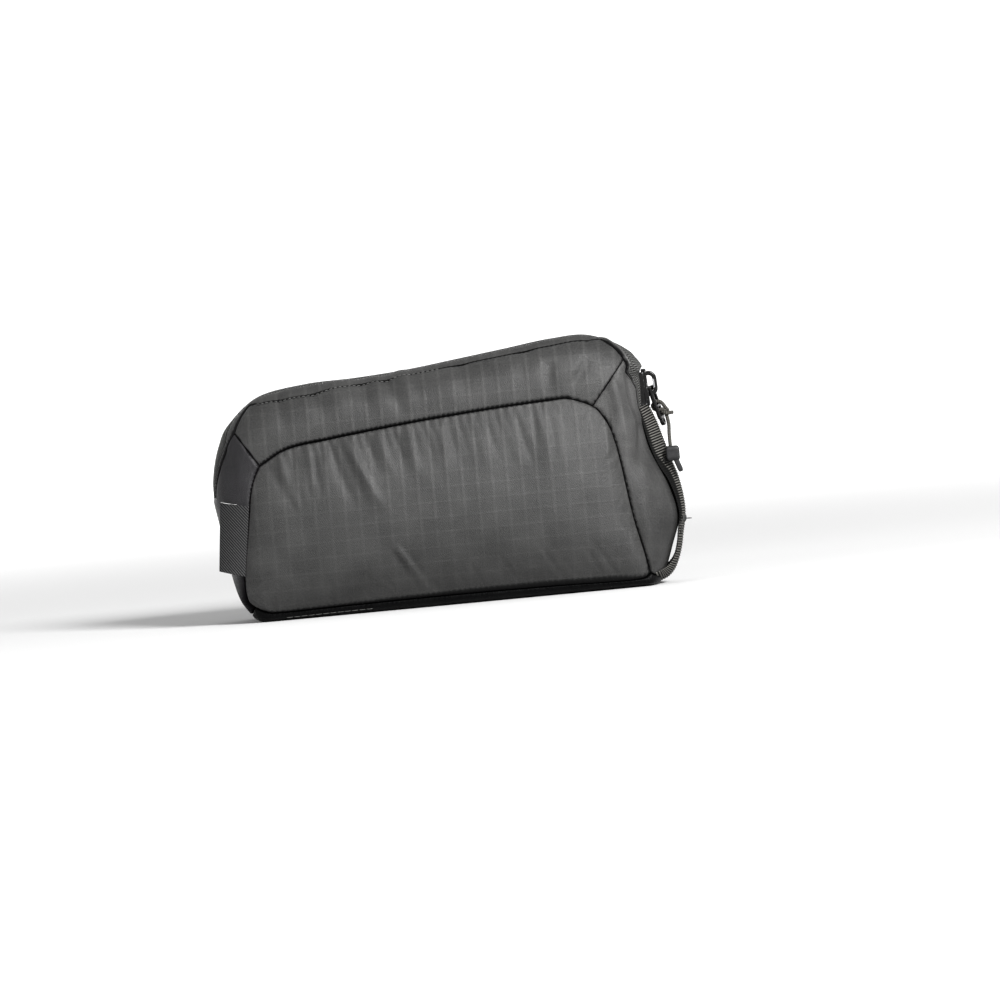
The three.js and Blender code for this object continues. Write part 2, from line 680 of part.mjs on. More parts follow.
// The pull cord: its loop and strand as tubes, the knot with its cut tail, and the moulded end.
function cordTube(points, steps) {
  const corners = evenly(0, 2 * Math.PI, CORD_SIDES).slice(1);
  const radius = CORD_DIAMETER / 2;
  const section = outline(corners.map((turn) => [radius * Math.cos(turn), radius * Math.sin(turn)]));
  const path = new THREE.CatmullRomCurve3(points.map((point) => new THREE.Vector3(...point)));
  return new THREE.ExtrudeGeometry(section, { steps, extrudePath: path, bevelEnabled: false });
}

function knotGeometry() {
  const ball = new THREE.SphereGeometry(KNOT.radius, 12, 8);
  const tail = new THREE.CylinderGeometry(CORD_DIAMETER / 2, CORD_DIAMETER / 2, KNOT.tail, CORD_SIDES);
  tail.rotateZ(-Math.PI / 2).translate(KNOT.tail / 2, 0, 0);
  return joined(ball, tail).translate(KNOT.x, 0, KNOT.z);
}

function cordEndGeometry() {
  const { wide, deep, tall, bevel } = CORD_END;
  const halfWide = wide / 2 - bevel;
  const halfTall = tall / 2 - bevel;
  const shape = outline([
    [-halfWide, -halfTall],
    [halfWide, -halfTall],
    [halfWide, halfTall],
    [-halfWide, halfTall],
  ]);
  const rounded = { depth: deep - 2 * bevel, bevelSize: bevel, bevelThickness: bevel, bevelSegments: 2 };
  const block = new THREE.ExtrudeGeometry(shape, rounded);
  block.applyMatrix4(thickAlongY).translate(0, deep / 2 - bevel, 0);
  const tail = new THREE.BoxGeometry(CORD_END_TAIL.wide, CORD_END_TAIL.deep, CORD_END_TAIL.length);
  tail.rotateY(-CORD_END_TAIL.lean).translate(CORD_END_TAIL.out, 0, -CORD_END_TAIL.drop);
  return joined(block, tail).translate(CORD_END.x, CORD_END.y, CORD_END.z);
}

addPiece("pull_loop", cordTube(LOOP_POINTS, LOOP_STEPS), FINISH.cord);
addPiece("pull_knot", knotGeometry(), FINISH.cord);
addPiece("pull_strand", cordTube(STRAND_POINTS, STRAND_STEPS), FINISH.cord);
addPiece("cord_end", cordEndGeometry(), FINISH.rubber);

// The front strap: a flat webbing whose edges bend back towards the bag, carried down its route.
const strapRows = table(STRAP_COLUMNS, STRAP_ROWS);
const strapRoute = new THREE.CatmullRomCurve3(strapRows.map((s) => new THREE.Vector3(s.x, 0, s.z)));
const strapShape = new THREE.CatmullRomCurve3(strapRows.map((s) => new THREE.Vector3(s.cup, s.half, 0)));
function strapGrid(depth) {
  return evenly(0, 1, STRAP_STEPS).map((t) => {
    const middle = strapRoute.getPoint(t);
    const run = strapRoute.getTangent(t);
    const out = new THREE.Vector3(-run.z, 0, run.x);
    const { x: cup, y: half } = strapShape.getPoint(t);
    return evenly(-1, 1, STRAP_CELLS).map((across) => {
      const point = middle.clone().addScaledVector(out, -cup * across ** 2 - depth);
      point.y = half * across;
      return point;
    });
  });
}
const strapWall = closedWall(strapGrid(0), strapGrid(STRAP_THICK), () => true);
addPiece("front_strap", strapWall, FINISH.webbing);

// The label: a small flap held by one edge in the rear seam.
function labelGrid(depth) {
  const corner = (name) => new THREE.Vector3(...LABEL[name]);
  return evenly(0, 1, LABEL.cellsLong).map((t) => {
    const seam = corner("seamLow").lerp(corner("seamHigh"), t);
    const free = corner("freeLow").lerp(corner("freeHigh"), t);
    return evenly(0, 1, LABEL.cellsWide).map((s) => {
      const point = seam.clone().lerp(free, s);
      point.y -= LABEL.bow * Math.sin(Math.PI * s) - depth;
      return point;
    });
  });
}
const labelWall = closedWall(labelGrid(0), labelGrid(LABEL.thick), () => true);
addPiece("side_label", labelWall, FINISH.label);

export default bag;
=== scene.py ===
import math

import bpy
import numpy as np
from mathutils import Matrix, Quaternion, Vector


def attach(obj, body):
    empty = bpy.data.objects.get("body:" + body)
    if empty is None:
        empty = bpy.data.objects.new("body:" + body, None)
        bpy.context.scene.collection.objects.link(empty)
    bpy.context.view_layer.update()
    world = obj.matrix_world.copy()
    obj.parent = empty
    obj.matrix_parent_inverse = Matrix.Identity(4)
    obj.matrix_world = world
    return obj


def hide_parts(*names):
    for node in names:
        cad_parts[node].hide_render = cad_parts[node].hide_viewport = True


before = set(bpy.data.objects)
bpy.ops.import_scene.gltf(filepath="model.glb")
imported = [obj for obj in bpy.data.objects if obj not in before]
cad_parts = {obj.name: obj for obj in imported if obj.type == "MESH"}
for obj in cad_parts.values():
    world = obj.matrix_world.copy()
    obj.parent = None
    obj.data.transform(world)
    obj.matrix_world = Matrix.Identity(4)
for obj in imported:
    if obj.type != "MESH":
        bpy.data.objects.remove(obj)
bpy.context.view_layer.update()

# Camera, floor and light. A long lens stands level with the bag's right side, turned so that the base
# climbs to the right. The bag stands on a pale floor that curves up into a backdrop all round, under a
# soft key light from the front and the right, with a weak one for the far side.
MM = 0.001
CAMERA_TARGET = Vector((20.2, 0.0, 39.1)) * MM
CAMERA_DISTANCE = 3.0
CAMERA_ELEVATION = math.radians(2.0)
CAMERA_ROLL = math.radians(-5.4)
VIEW_WIDTH = 0.4
FLOOR_MIDDLE = 0.02
FLOOR_RADIUS = 4.5
COVE_RADIUS = 1.5
BACKDROP_HEIGHT = 2.6
FLOOR_COLOUR = (0.5, 0.5, 0.5, 1.0)
FLOOR_ROUGHNESS = 0.9
BACKDROP_GLOW = {"from": 0.25, "to": 1.8, "strength": 1.6}
WORLD_STRENGTH = 0.4
BAG_MIDDLE = Vector((0.0, 0.0, 50.0)) * MM
SOFT_LIGHTS = {
    "key_light": {"place": (0.95, -1.45, 1.05), "size": 0.6, "power": 81.0},
    "top_light": {"place": (0.1, 0.3, 1.6), "size": 0.8, "power": 3.0},
    "side_light": {"place": (-1.35, -1.05, 0.75), "size": 0.35, "power": 6.0},
    "far_light": {"place": (-0.4, 1.8, 0.15), "size": 0.7, "power": 9.0},
}

scene = bpy.context.scene
camera_data = bpy.data.cameras.new("camera")
camera_data.lens = camera_data.sensor_width * CAMERA_DISTANCE / VIEW_WIDTH
camera = bpy.data.objects.new("camera", camera_data)
camera_back = Vector((0.0, -math.cos(CAMERA_ELEVATION), math.sin(CAMERA_ELEVATION)))
camera.location = CAMERA_TARGET + camera_back * CAMERA_DISTANCE
camera.rotation_mode = "QUATERNION"
camera_level = (-camera_back).to_track_quat("-Z", "Y")
camera.rotation_quaternion = camera_level @ Quaternion((0.0, 0.0, 1.0), CAMERA_ROLL)
scene.collection.objects.link(camera)
scene.camera = camera
scene.view_settings.view_transform = "Standard"
scene.view_settings.look = "Medium High Contrast"

world = bpy.data.worlds.new("studio")
world.use_nodes = True
world.node_tree.nodes["Background"].inputs["Color"].default_value = (1.0, 1.0, 1.0, 1.0)
world.node_tree.nodes["Background"].inputs["Strength"].default_value = WORLD_STRENGTH
scene.world = world

for light_name, light in SOFT_LIGHTS.items():
    light_data = bpy.data.lights.new(light_name, "AREA")
    light_data.size = light["size"]
    light_data.energy = light["power"]
    light_object = bpy.data.objects.new(light_name, light_data)
    light_object.location = light["place"]
    aim = BAG_MIDDLE - light_object.location
    light_object.rotation_euler = aim.to_track_quat("-Z", "Y").to_euler()
    scene.collection.objects.link(light_object)


def new_material(name):
    """An empty material: its node tree and its main shader."""
    material = bpy.data.materials.new(name)
    material.use_nodes = True
    return material, material.node_tree, material.node_tree.nodes["Principled BSDF"]


def add_node(tree, kind, inputs=None, **settings):
    """Adds a node. An input is a constant, or another node's output to link."""
    node = tree.nodes.new("ShaderNode" + kind)
    for setting, value in settings.items():
        setattr(node, setting, value)
    for socket, value in (inputs or {}).items():
        if isinstance(value, bpy.types.NodeSocket):
            tree.links.new(value, node.inputs[socket])
        else:
            node.inputs[socket].default_value = value
    return node


cove_turn = np.linspace(0.0, 0.5 * np.pi, 16)
cove_out = FLOOR_RADIUS + COVE_RADIUS * np.sin(cove_turn)
floor_out = np.concatenate([[FLOOR_MIDDLE], cove_out, [FLOOR_RADIUS + COVE_RADIUS]])
floor_up = np.concatenate([[0.0], COVE_RADIUS * (1 - np.cos(cove_turn)), [BACKDROP_HEIGHT]])
floor_turn = np.linspace(0.0, 2 * np.pi, 96, endpoint=False)[None]
floor_grid = np.stack([
    floor_out[:, None] * np.cos(floor_turn),
    floor_out[:, None] * np.sin(floor_turn),
    floor_up[:, None] * np.ones_like(floor_turn),
], axis=-1)
floor_number = np.arange(floor_grid.shape[0] * floor_grid.shape[1]).reshape(floor_grid.shape[:2])
floor_next = np.roll(floor_number, -1, axis=1)
floor_faces = np.stack([floor_number[:-1], floor_number[1:], floor_next[1:], floor_next[:-1]], axis=-1)
floor_faces = floor_faces.reshape(-1, 4).tolist() + [floor_number[0].tolist()]
floor_mesh = bpy.data.meshes.new("floor")
floor_mesh.from_pydata(floor_grid.reshape(-1, 3).tolist(), [], floor_faces)
floor_mesh.shade_smooth()
floor_material, floor_tree, floor_shader = new_material("pale_floor")
floor_shader.inputs["Base Color"].default_value = FLOOR_COLOUR
floor_shader.inputs["Roughness"].default_value = FLOOR_ROUGHNESS
floor_shader.inputs["Specular IOR Level"].default_value = 0.0
floor_shader.inputs["Emission Color"].default_value = FLOOR_COLOUR
floor_place = add_node(floor_tree, "TexCoord").outputs["Object"]
floor_away = add_node(floor_tree, "VectorMath", {0: floor_place}, operation="LENGTH").outputs["Value"]
floor_glow = add_node(floor_tree, "MapRange", {
    "Value": floor_away,
    "From Min": BACKDROP_GLOW["from"],
    "From Max": BACKDROP_GLOW["to"],
    "To Max": BACKDROP_GLOW["strength"],
}, interpolation_type="SMOOTHSTEP").outputs["Result"]
floor_tree.links.new(floor_glow, floor_shader.inputs["Emission Strength"])
floor_mesh.materials.append(floor_material)
floor = bpy.data.objects.new("floor", floor_mesh)
scene.collection.objects.link(floor)


# The pull cord: a thin round braid. Its cut tail goes into an overhand knot, the loop runs through the
# puller's lower slot and back into the knot, and the other strand hangs down to the moulded end.
CORD_DIAMETER = 1.4 * MM
CORD_ROUTE = np.array([
    [92.3, -0.2, 67.6],
    [91.4, -0.6, 67.6],
    [90.5, -1.35, 67.5],
    [89.3, -1.6, 67.6],
    [88.3, -0.95, 67.9],
    [88.15, 0.4, 68.1],
    [88.9, 1.4, 68.0],
    [90.0, 1.2, 67.9],
    [90.3, 0.4, 68.6],
    [89.7, 0.0, 69.5],
    [89.1, 0.0, 70.5],
    [88.1, 0.0, 71.9],
    [86.9, 0.0, 72.5],
    [85.5, 0.0, 72.2],
    [84.5, 0.0, 70.9],
    [85.1, 0.0, 69.5],
    [86.7, 0.0, 69.0],
    [88.2, 0.0, 69.2],
    [89.3, -0.1, 68.2],
    [89.8, -0.4, 66.2],
    [90.2, -1.8, 63.0],
    [90.0, -3.8, 60.0],
    [89.9, -5.8, 57.2],
    [89.9, -7.0, 54.9],
    [90.0, -7.2, 53.2],
]) * MM
CORD_RINGS = 420
CORD_SIDES = 32
CORD_RIDGE = 0.08
CORD_BRAID_PITCH = 1.5 * MM
CORD_STRANDS = 4
CORD_COLOURS = ((0.014, 0.0135, 0.012, 1.0), (0.10, 0.097, 0.088, 1.0))


def cubic_weights(count, at):
    """Weights that read a Catmull-Rom curve through count values, numbered from 0, at the numbers at.
    Past each end the curve is taken to go straight on."""
    cell = np.clip(np.floor(at).astype(int), 0, count - 2)
    t = at - cell
    basis = np.stack([
        0.5 * (-t + 2 * t**2 - t**3),
        0.5 * (2 - 5 * t**2 + 3 * t**3),
        0.5 * (t + 4 * t**2 - 3 * t**3),
        0.5 * (-(t**2) + t**3),
    ], axis=1)
    weights = np.zeros((len(at), count + 2))
    np.put_along_axis(weights, cell[:, None] + np.arange(4), basis, axis=1)
    weights[:, 1] += 2 * weights[:, 0]
    weights[:, 2] -= weights[:, 0]
    weights[:, -2] += 2 * weights[:, -1]
    weights[:, -3] -= weights[:, -1]
    return weights[:, 1:-1]


def unit(vectors):
    """The same directions, one long."""
    return vectors / np.maximum(np.linalg.norm(vectors, axis=-1, keepdims=True), 1e-12)


def lengths_along(path):
    """How far along a path each of its points lies."""
    steps = np.linalg.norm(np.diff(path, axis=0), axis=1)
    return np.concatenate([[0.0], np.cumsum(steps)])


def read_along(values, along, at):
    """Rows of values that lie at known distances along a path, read straight between them at others."""
    return np.stack([np.interp(at, along, values[:, k]) for k in range(values.shape[1])], axis=1)


def spaced(path, count):
    """A path again, with count points at even distances along it."""
    along = lengths_along(path)
    return read_along(path, along, np.linspace(0.0, along[-1], count))


def smooth_path(points, count):
    """A Catmull-Rom curve through a few points, as count evenly spaced points."""
    numbers = np.linspace(0.0, len(points) - 1.0, 20 * len(points))
    return spaced(cubic_weights(len(points), numbers) @ points, count)


def carried_frame(path):
    """Two directions across a path that turn as little as they can from each point to the next."""
    ahead = unit(np.gradient(path, axis=0))
    side = np.zeros_like(path)
    side[0] = unit(np.cross(ahead[0], (0.3, 0.9, 0.2)))
    for i in range(1, len(path)):
        side[i] = unit(side[i - 1] - ahead[i] * (side[i - 1] @ ahead[i]))
    return side, np.cross(ahead, side)


def swept(path, side, out, profile):
    """A profile carried along a path: its first column goes along side and its second along out.
    The profile is one for all points, or one for each."""
    return path[:, None] + profile[..., :1] * side[:, None] + profile[..., 1:] * out[:, None]


def ring_faces(rings, sides):
    """Faces of a closed surface through rings of points: quads between rings, and a fan over each end,
    whose middle points come after all the rings."""
    ring = np.arange(rings - 1)[:, None] * sides
    here = np.arange(sides)
    after = (here + 1) % sides
    quads = np.stack([ring + here, ring + after, ring + after + sides, ring + here + sides], axis=-1)
    last = (rings - 1) * sides
    middle = np.full(sides, rings * sides)
    fans = [
        np.stack([after, here, middle], axis=1),
        np.stack([last + here, last + after, middle + 1], axis=1),
    ]
    return quads.reshape(-1, 4), np.concatenate(fans)


def ringed(points):
    """Points and faces of a closed solid through rings, which come as an array of rings by sides."""
    rings, sides = points.shape[:2]
    ends = points[[0, -1]].mean(axis=1)
    quads, fans = ring_faces(rings, sides)
    return np.concatenate([points.reshape(-1, 3), ends]), quads, fans


def joined(solids):
    """Several solids, each points, quads and fans, as one."""
    starts = np.cumsum([0] + [len(points) for points, _, _ in solids[:-1]])
    points = np.concatenate([solid[0] for solid in solids])
    quads = np.concatenate([solid[1] + start for solid, start in zip(solids, starts)])
    fans = np.concatenate([solid[2] + start for solid, start in zip(solids, starts)])
    return points, quads, fans


def outward(points, quads, fans):
    """The faces turned round if their enclosed volume comes out negative."""
    corners = [(quads[:, 0], quads[:, 1], quads[:, 2]), (quads[:, 0], quads[:, 2], quads[:, 3])]
    if len(fans):
        corners.append((fans[:, 0], fans[:, 1], fans[:, 2]))
    volume = sum((points[a] * np.cross(points[b], points[c])).sum() for a, b, c in corners)
    return (quads, fans) if volume > 0 else (quads[:, ::-1], fans[:, ::-1])


def new_piece(name, solid, material, body="bag", replaces=(), uv=None, values=None):
    """A closed solid as a piece of the object, with its material, cloth coordinates and point values."""
    points, quads, fans = solid
    quads, fans = outward(points, quads, fans)
    mesh = bpy.data.meshes.new(name)
    mesh.from_pydata(points.tolist(), [], quads.tolist() + fans.tolist())
    if uv is not None:
        corner_points = np.concatenate([quads.ravel(), fans.ravel()]).astype(int)
        layer = mesh.uv_layers.new(name="cloth")
        layer.data.foreach_set("uv", uv[corner_points].astype(np.float32).ravel())
    for value_name, value in (values or {}).items():
        attribute = mesh.attributes.new(value_name, "FLOAT", "POINT")
        attribute.data.foreach_set("value", value.astype(np.float32))
    mesh.shade_smooth()
    mesh.materials.append(material)
    piece = bpy.data.objects.new(name, mesh)
    scene.collection.objects.link(piece)
    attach(piece, body)
    if replaces:
        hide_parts(*replaces)
    return piece


def calculate(tree, operation, *values):
    """The output of a Math node."""
    return add_node(tree, "Math", dict(enumerate(values)), operation=operation).outputs[0]


def ramp(tree, value, low, high, to_low=0.0, to_high=1.0):
    """A value's smooth climb from to_low at low to to_high at high."""
    inputs = {"Value": value, "From Min": low, "From Max": high, "To Min": to_low, "To Max": to_high}
    return add_node(tree, "MapRange", inputs, interpolation_type="SMOOTHSTEP").outputs["Result"]


def mixed(tree, share, first, second):
    """A colour between two."""
    node = add_node(tree, "Mix", {"Factor": share}, data_type="RGBA")
    for socket, value in zip(("A", "B"), (first, second)):
        target = [s for s in node.inputs if s.name == socket and s.type == "RGBA"][0]
        if isinstance(value, bpy.types.NodeSocket):
            tree.links.new(value, target)
        else:
            target.default_value = value
    return [s for s in node.outputs if s.type == "RGBA"][0]


def bumped(tree, shader, height, distance, strength=1.0):
    """Gives a shader the small relief of a height."""
    inputs = {"Height": height, "Distance": distance, "Strength": strength}
    tree.links.new(add_node(tree, "Bump", inputs).outputs["Normal"], shader.inputs["Normal"])


def fine_noise(tree, vector, scale, detail=2.0):
    """Noise from 0 to 1."""
    inputs = {"Vector": vector, "Scale": scale, "Detail": detail}
    return add_node(tree, "TexNoise", inputs).outputs["Fac"]


def object_place(tree):
    """The object's own coordinates, in metres."""
    return add_node(tree, "TexCoord").outputs["Object"]


def yarn_material(name, colours, roughness, scale):
    """Twisted yarn: dark between the strands, lighter and fuzzy where the value raised is near one."""
    material, tree, shader = new_material(name)
    raised = add_node(tree, "Attribute", attribute_name="raised").outputs["Fac"]
    fuzz = fine_noise(tree, object_place(tree), scale, 4.0)
    # A raised value below zero paints the yarn darkest: the strap's painted shade on its bent-back edges.
    share = calculate(tree, "MULTIPLY_ADD", raised, 0.8, -0.4)
    share = calculate(tree, "MULTIPLY_ADD", fuzz, 0.7, share)
    colour = mixed(tree, ramp(tree, share, 0.0, 0.9), *colours)
    tree.links.new(colour, shader.inputs["Base Color"])
    shader.inputs["Roughness"].default_value = roughness
    shader.inputs["Specular IOR Level"].default_value = 0.15
    bumped(tree, shader, fuzz, distance=0.00012, strength=0.7)
    return material


cord_path = smooth_path(CORD_ROUTE, CORD_RINGS)
cord_turn = np.linspace(0.0, 2 * np.pi, CORD_SIDES, endpoint=False)
cord_along = 2 * np.pi * lengths_along(cord_path)[:, None] / CORD_BRAID_PITCH
cord_braid = np.cos(CORD_STRANDS * cord_turn + cord_along) * np.cos(CORD_STRANDS * cord_turn - cord_along)
cord_radius = 0.5 * CORD_DIAMETER * (1 + CORD_RIDGE * cord_braid)
cord_round = np.stack([np.cos(cord_turn), np.sin(cord_turn)], axis=1)
cord_profile = cord_radius[..., None] * cord_round
cord_rings = swept(cord_path, *carried_frame(cord_path), cord_profile)
cord_raised = np.concatenate([0.5 + 0.5 * cord_braid.ravel(), [0.0, 0.0]])
pull_cord = new_piece(
    "pull_cord",
    ringed(cord_rings),
    yarn_material("cord_braid", CORD_COLOURS, roughness=0.8, scale=4000.0),
    body="puller",
    replaces=["pull_loop", "pull_knot", "pull_strand"],
    values={"raised": cord_raised},
)


# The moulded end: a dark, finely grained rubber block with a flat tail below it. It is moulded round the
# end of the cord's strand and hangs on it.
END_PLACE = np.array([90.6, -7.2, 51.5]) * MM
END_HALF = np.array([2.75, 2.2, 3.0]) * MM
END_SQUARE = 7.0
END_TAIL_PLACE = END_PLACE + np.array([1.6, 0.0, -4.1]) * MM
END_TAIL_HALF = np.array([1.05, 1.7, 3.6]) * MM
END_TAIL_SQUARE = 5.0
END_TAIL_LEAN = 0.33
END_WAIST = 0.10
END_COLOURS = ((0.005, 0.005, 0.0053, 1.0), (0.026, 0.0263, 0.0275, 1.0))


def rounded_block(half, square, rings=40, sides=64):
    """A superellipsoid with rounded edges: each coordinate is the sphere's, to the power 2 / square."""
    tilt = np.linspace(-0.5 * np.pi, 0.5 * np.pi, rings)[1:-1, None]
    turn = np.linspace(0.0, 2 * np.pi, sides, endpoint=False)[None, :]

    def squared(value):
        return np.sign(value) * np.abs(value) ** (2 / square)

    points = np.stack([
        squared(np.cos(tilt)) * squared(np.cos(turn)),
        squared(np.cos(tilt)) * squared(np.sin(turn)),
        squared(np.sin(tilt)) * np.ones_like(turn),
    ], axis=-1)
    return points * half


def rubber_material(name, colours):
    """Moulded rubber: matte, mottled, with a fine grain."""
    material, tree, shader = new_material(name)
    place = object_place(tree)
    mottle = fine_noise(tree, place, 700.0, 3.0)
    grain = fine_noise(tree, place, 6000.0, 2.0)
    tree.links.new(mixed(tree, mottle, *colours), shader.inputs["Base Color"])
    tree.links.new(ramp(tree, grain, 0.3, 0.7, 0.42, 0.6), shader.inputs["Roughness"])
    shader.inputs["Specular IOR Level"].default_value = 0.25
    bumped(tree, shader, grain, distance=0.00006, strength=0.6)
    return material


end_block = rounded_block(END_HALF, END_SQUARE)
end_waist = 1 - END_WAIST * np.cos(np.pi * end_block[..., 2:] / END_HALF[2]) ** 2
end_block = end_block * np.concatenate([end_waist, end_waist, np.ones_like(end_waist)], axis=-1)
end_tail = rounded_block(END_TAIL_HALF, END_TAIL_SQUARE)
tail_cos, tail_sin = math.cos(END_TAIL_LEAN), math.sin(END_TAIL_LEAN)
end_tail = np.stack([
    tail_cos * end_tail[..., 0] - tail_sin * end_tail[..., 2],
    end_tail[..., 1],
    tail_sin * end_tail[..., 0] + tail_cos * end_tail[..., 2],
], axis=-1)
cord_end = new_piece(
    "moulded_end",
    joined([ringed(end_block + END_PLACE), ringed(end_tail + END_TAIL_PLACE)]),
    rubber_material("dark_rubber", END_COLOURS),
    body="puller",
    replaces=["cord_end"],
)


# The shell: a strip of cloth goes round the bag from the rear of the base, over the top, to the front of
# the base, as sections from its seam with the side panel to its crown on the middle plane.
SECTIONS = np.array([
    # seam x, seam z, seam half width, crown x, crown z, squareness
    [-80.8, 6.6, 18.0, -83.0, 2.8, 2.0],
    [-83.4, 9.5, 19.2, -86.6, 8.6, 2.0],
    [-83.9, 17.0, 19.8, -89.0, 17.0, 2.0],
    [-82.7, 26.0, 20.2, -90.6, 27.0, 2.0],
    [-81.0, 36.0, 20.3, -92.2, 38.5, 2.0],
    [-79.4, 46.0, 20.0, -94.0, 51.0, 2.0],
    [-78.2, 52.5, 19.6, -93.0, 61.5, 2.0],
    [-76.4, 57.8, 19.0, -90.0, 71.5, 2.1],
    [-74.1, 62.2, 18.6, -85.3, 79.6, 2.2],
    [-62.2, 68.2, 19.6, -72.5, 89.6, 2.3],
    [-46.0, 70.5, 20.6, -53.0, 93.0, 2.4],
    [-29.0, 72.4, 21.3, -33.0, 93.6, 2.4],
    [-12.0, 74.1, 21.7, -13.0, 94.9, 2.4],
    [5.0, 75.5, 21.8, 7.0, 97.2, 2.4],
    [22.0, 76.7, 21.5, 27.0, 99.6, 2.4],
    [37.0, 77.5, 20.9, 46.0, 101.9, 2.4],
    [50.1, 78.0, 20.0, 62.0, 101.8, 2.4],
    [60.5, 73.6, 18.8, 77.2, 94.0, 2.2],
    [65.2, 67.6, 18.6, 80.4, 83.0, 1.9],
    [67.8, 60.5, 18.9, 81.0, 71.5, 1.7],
    [69.6, 50.5, 19.4, 82.4, 57.0, 1.7],
    [71.1, 39.0, 19.8, 88.2, 41.5, 1.9],
    [72.9, 27.0, 20.0, 91.2, 27.5, 2.0],
    [75.6, 14.5, 19.6, 87.2, 14.5, 2.0],
    [77.4, 5.0, 18.0, 82.8, 2.6, 2.0],
])
ZIP_EDGE = np.array([
    # section, half width of the zip's opening in the cloth
    [5.0, 8.5],
    [6.0, 10.5],
    [7.0, 12.0],
    [8.0, 12.4],
    [8.75, 7.6],
    [9.0, 11.3],
    [9.5, 13.6],
    [10.0, 14.2],
    [11.0, 12.4],
    [12.0, 12.2],
    [14.0, 12.5],
    [15.0, 12.2],
    [16.0, 10.6],
    [16.27, 6.6],
    [17.0, 11.3],
    [17.4, 11.8],
    [17.8, 9.4],
    [18.2, 8.2],
    [19.0, 8.0],
])
REAR_TOP, FRONT_TOP, FRONT_DIAGONAL, LAST_SECTION = 8, 16, 17, 24
ZIP_REAR, ZIP_FRONT = 5, 19
CLOTH_THICK = 0.9 * MM
SEAM_WIDTH = 1.1 * MM
SEAM_DEPTH = 1.6 * MM
ZIP_SEAM_DEPTH = 0.45 * MM
BASE_SEAM_DEPTH = 0.9 * MM
# Painted shade along every seam of the cloth: dark colour and no gloss over this width from the edge, the
# width wavering at the stitch pitch.
SEAM_SHADE = {"width": 0.85 * MM, "waver": 0.4, "stitch": 2.1 * MM}
GROOVE = {
    # where grooves change: along the zip, at its two ends, on the front slant, where it stops, by the base
    "zip_half": 14.0 * MM,
    "zip_fade": 4.5 * MM,
    "zip_middle": -4 * MM,
    "zip_end": 70 * MM,
    "zip_end_fade": 2 * MM,
    "zip_end_depth": 0.9,
    "front_height": 79 * MM,
    "front_fade": 5 * MM,
    "slant_place": (60.5 * MM, 73.6 * MM),
    "slant_across": (0.78, -0.62),
    "slant_reach": 2 * MM,
    "slant_from": 61.5 * MM,
    "slant_depth": 0.5,
    "zip_stop_half": 8.6 * MM,
    "zip_stop_rear": 56 * MM,
    "zip_stop_front": 73 * MM,
    "base_height": 6.7 * MM,
    "lower_height": 40 * MM,
}
SHELL_CORE = {"x": (-0.05, 0.05), "z": (0.03, 0.06)}
SHELL_INSIDE = np.array([0.0, 0.0, 45.0]) * MM
NO_FANS = np.zeros((0, 3), int)
RIPSTOP_CELL = 5.9 * MM


def section_values(rows, columns):
    """Columns of the section table, read at row numbers that may lie between two rows."""
    return cubic_weights(len(SECTIONS), rows) @ SECTIONS[:, columns]


def seam_values(rows):
    """The seam's x, half width and z. It turns a corner at the top of each end, so it is three curves."""
    seam = np.zeros((len(rows), 3))
    for first, last in ((0, REAR_TOP), (REAR_TOP, FRONT_TOP), (FRONT_TOP, LAST_SECTION)):
        here = (rows >= first) & (rows <= last)
        part = SECTIONS[first:last + 1, [0, 2, 1]]
        seam[here] = cubic_weights(len(part), rows[here] - first) @ part
    return seam


def strip_surface(rows, angles):
    """Points of the strip: angle 0 is the right seam, a quarter turn the crown and a half turn the left
    seam. Each section is a superellipse between seam and crown."""
    seam = seam_values(rows)[:, :, None]
    crown = section_values(rows, [3, 4])[:, :, None]
    power = 2 / section_values(rows, [5])
    rise = np.abs(np.sin(angles)) ** power
    half = -np.sign(np.cos(angles)) * np.abs(np.cos(angles)) ** power * seam[:, 1]
    across = seam[:, 0] + (crown[:, 0] - seam[:, 0]) * rise
    up = seam[:, 2] + (crown[:, 1] - seam[:, 2]) * rise
    return np.stack([across, half, up], axis=-1) * MM


def angle_at_half(rows, half):
    """The angle on the right half at which each section is a given distance from the middle plane."""
    square = section_values(rows, [5])[:, 0]
    return np.arccos((half / seam_values(rows)[:, 1]) ** (square / 2))


def read_table(table, at):
    """A table's second column, read straight between its rows at values of its first column."""
    return np.interp(at, table[:, 0], table[:, 1])


def zip_angle(rows, share=1.0):
    """The angle at a share of the zip opening's half width, which has a straight edge between sections."""
    return angle_at_half(rows, share * read_table(ZIP_EDGE, rows))


def seam_spacing(cells, length, crowd=2.4 * MM):
    """Numbers from 0 to 1, even in the middle and crowded at both ends, where cloth rolls into a seam."""
    near = crowd / length * np.array([0.0, 0.06, 0.14, 0.26, 0.42, 0.65, 1.0])
    even = np.linspace(0.0, 1.0, cells + 1)
    margin = near[-1] + 0.6 / cells
    return np.concatenate([near, even[(even > margin) & (even < 1 - margin)], 1 - near[::-1]])


def between(first, last, shares):
    """Numbers from first to last, which may be arrays with one entry for each row."""
    return np.asarray(first)[..., None] + (np.asarray(last) - np.asarray(first))[..., None] * shares


def grid_normals(grid):
    """Directions square to a grid of points, on the side away from the bag's inside."""
    normals = unit(np.cross(np.gradient(grid, axis=0), np.gradient(grid, axis=1)))
    facing = (normals * (grid - SHELL_INSIDE)).sum()
    return normals * np.sign(facing)


def cell_corners(rows, columns):
    """The four point numbers of each cell of a grid."""
    number = np.arange(rows * columns).reshape(rows, columns)
    return np.stack([number[:-1, :-1], number[1:, :-1], number[1:, 1:], number[:-1, 1:]], axis=-1)


def all_cells(grid):
    """A choice of every cell of a grid."""
    return np.ones((grid.shape[0] - 1, grid.shape[1] - 1), bool)


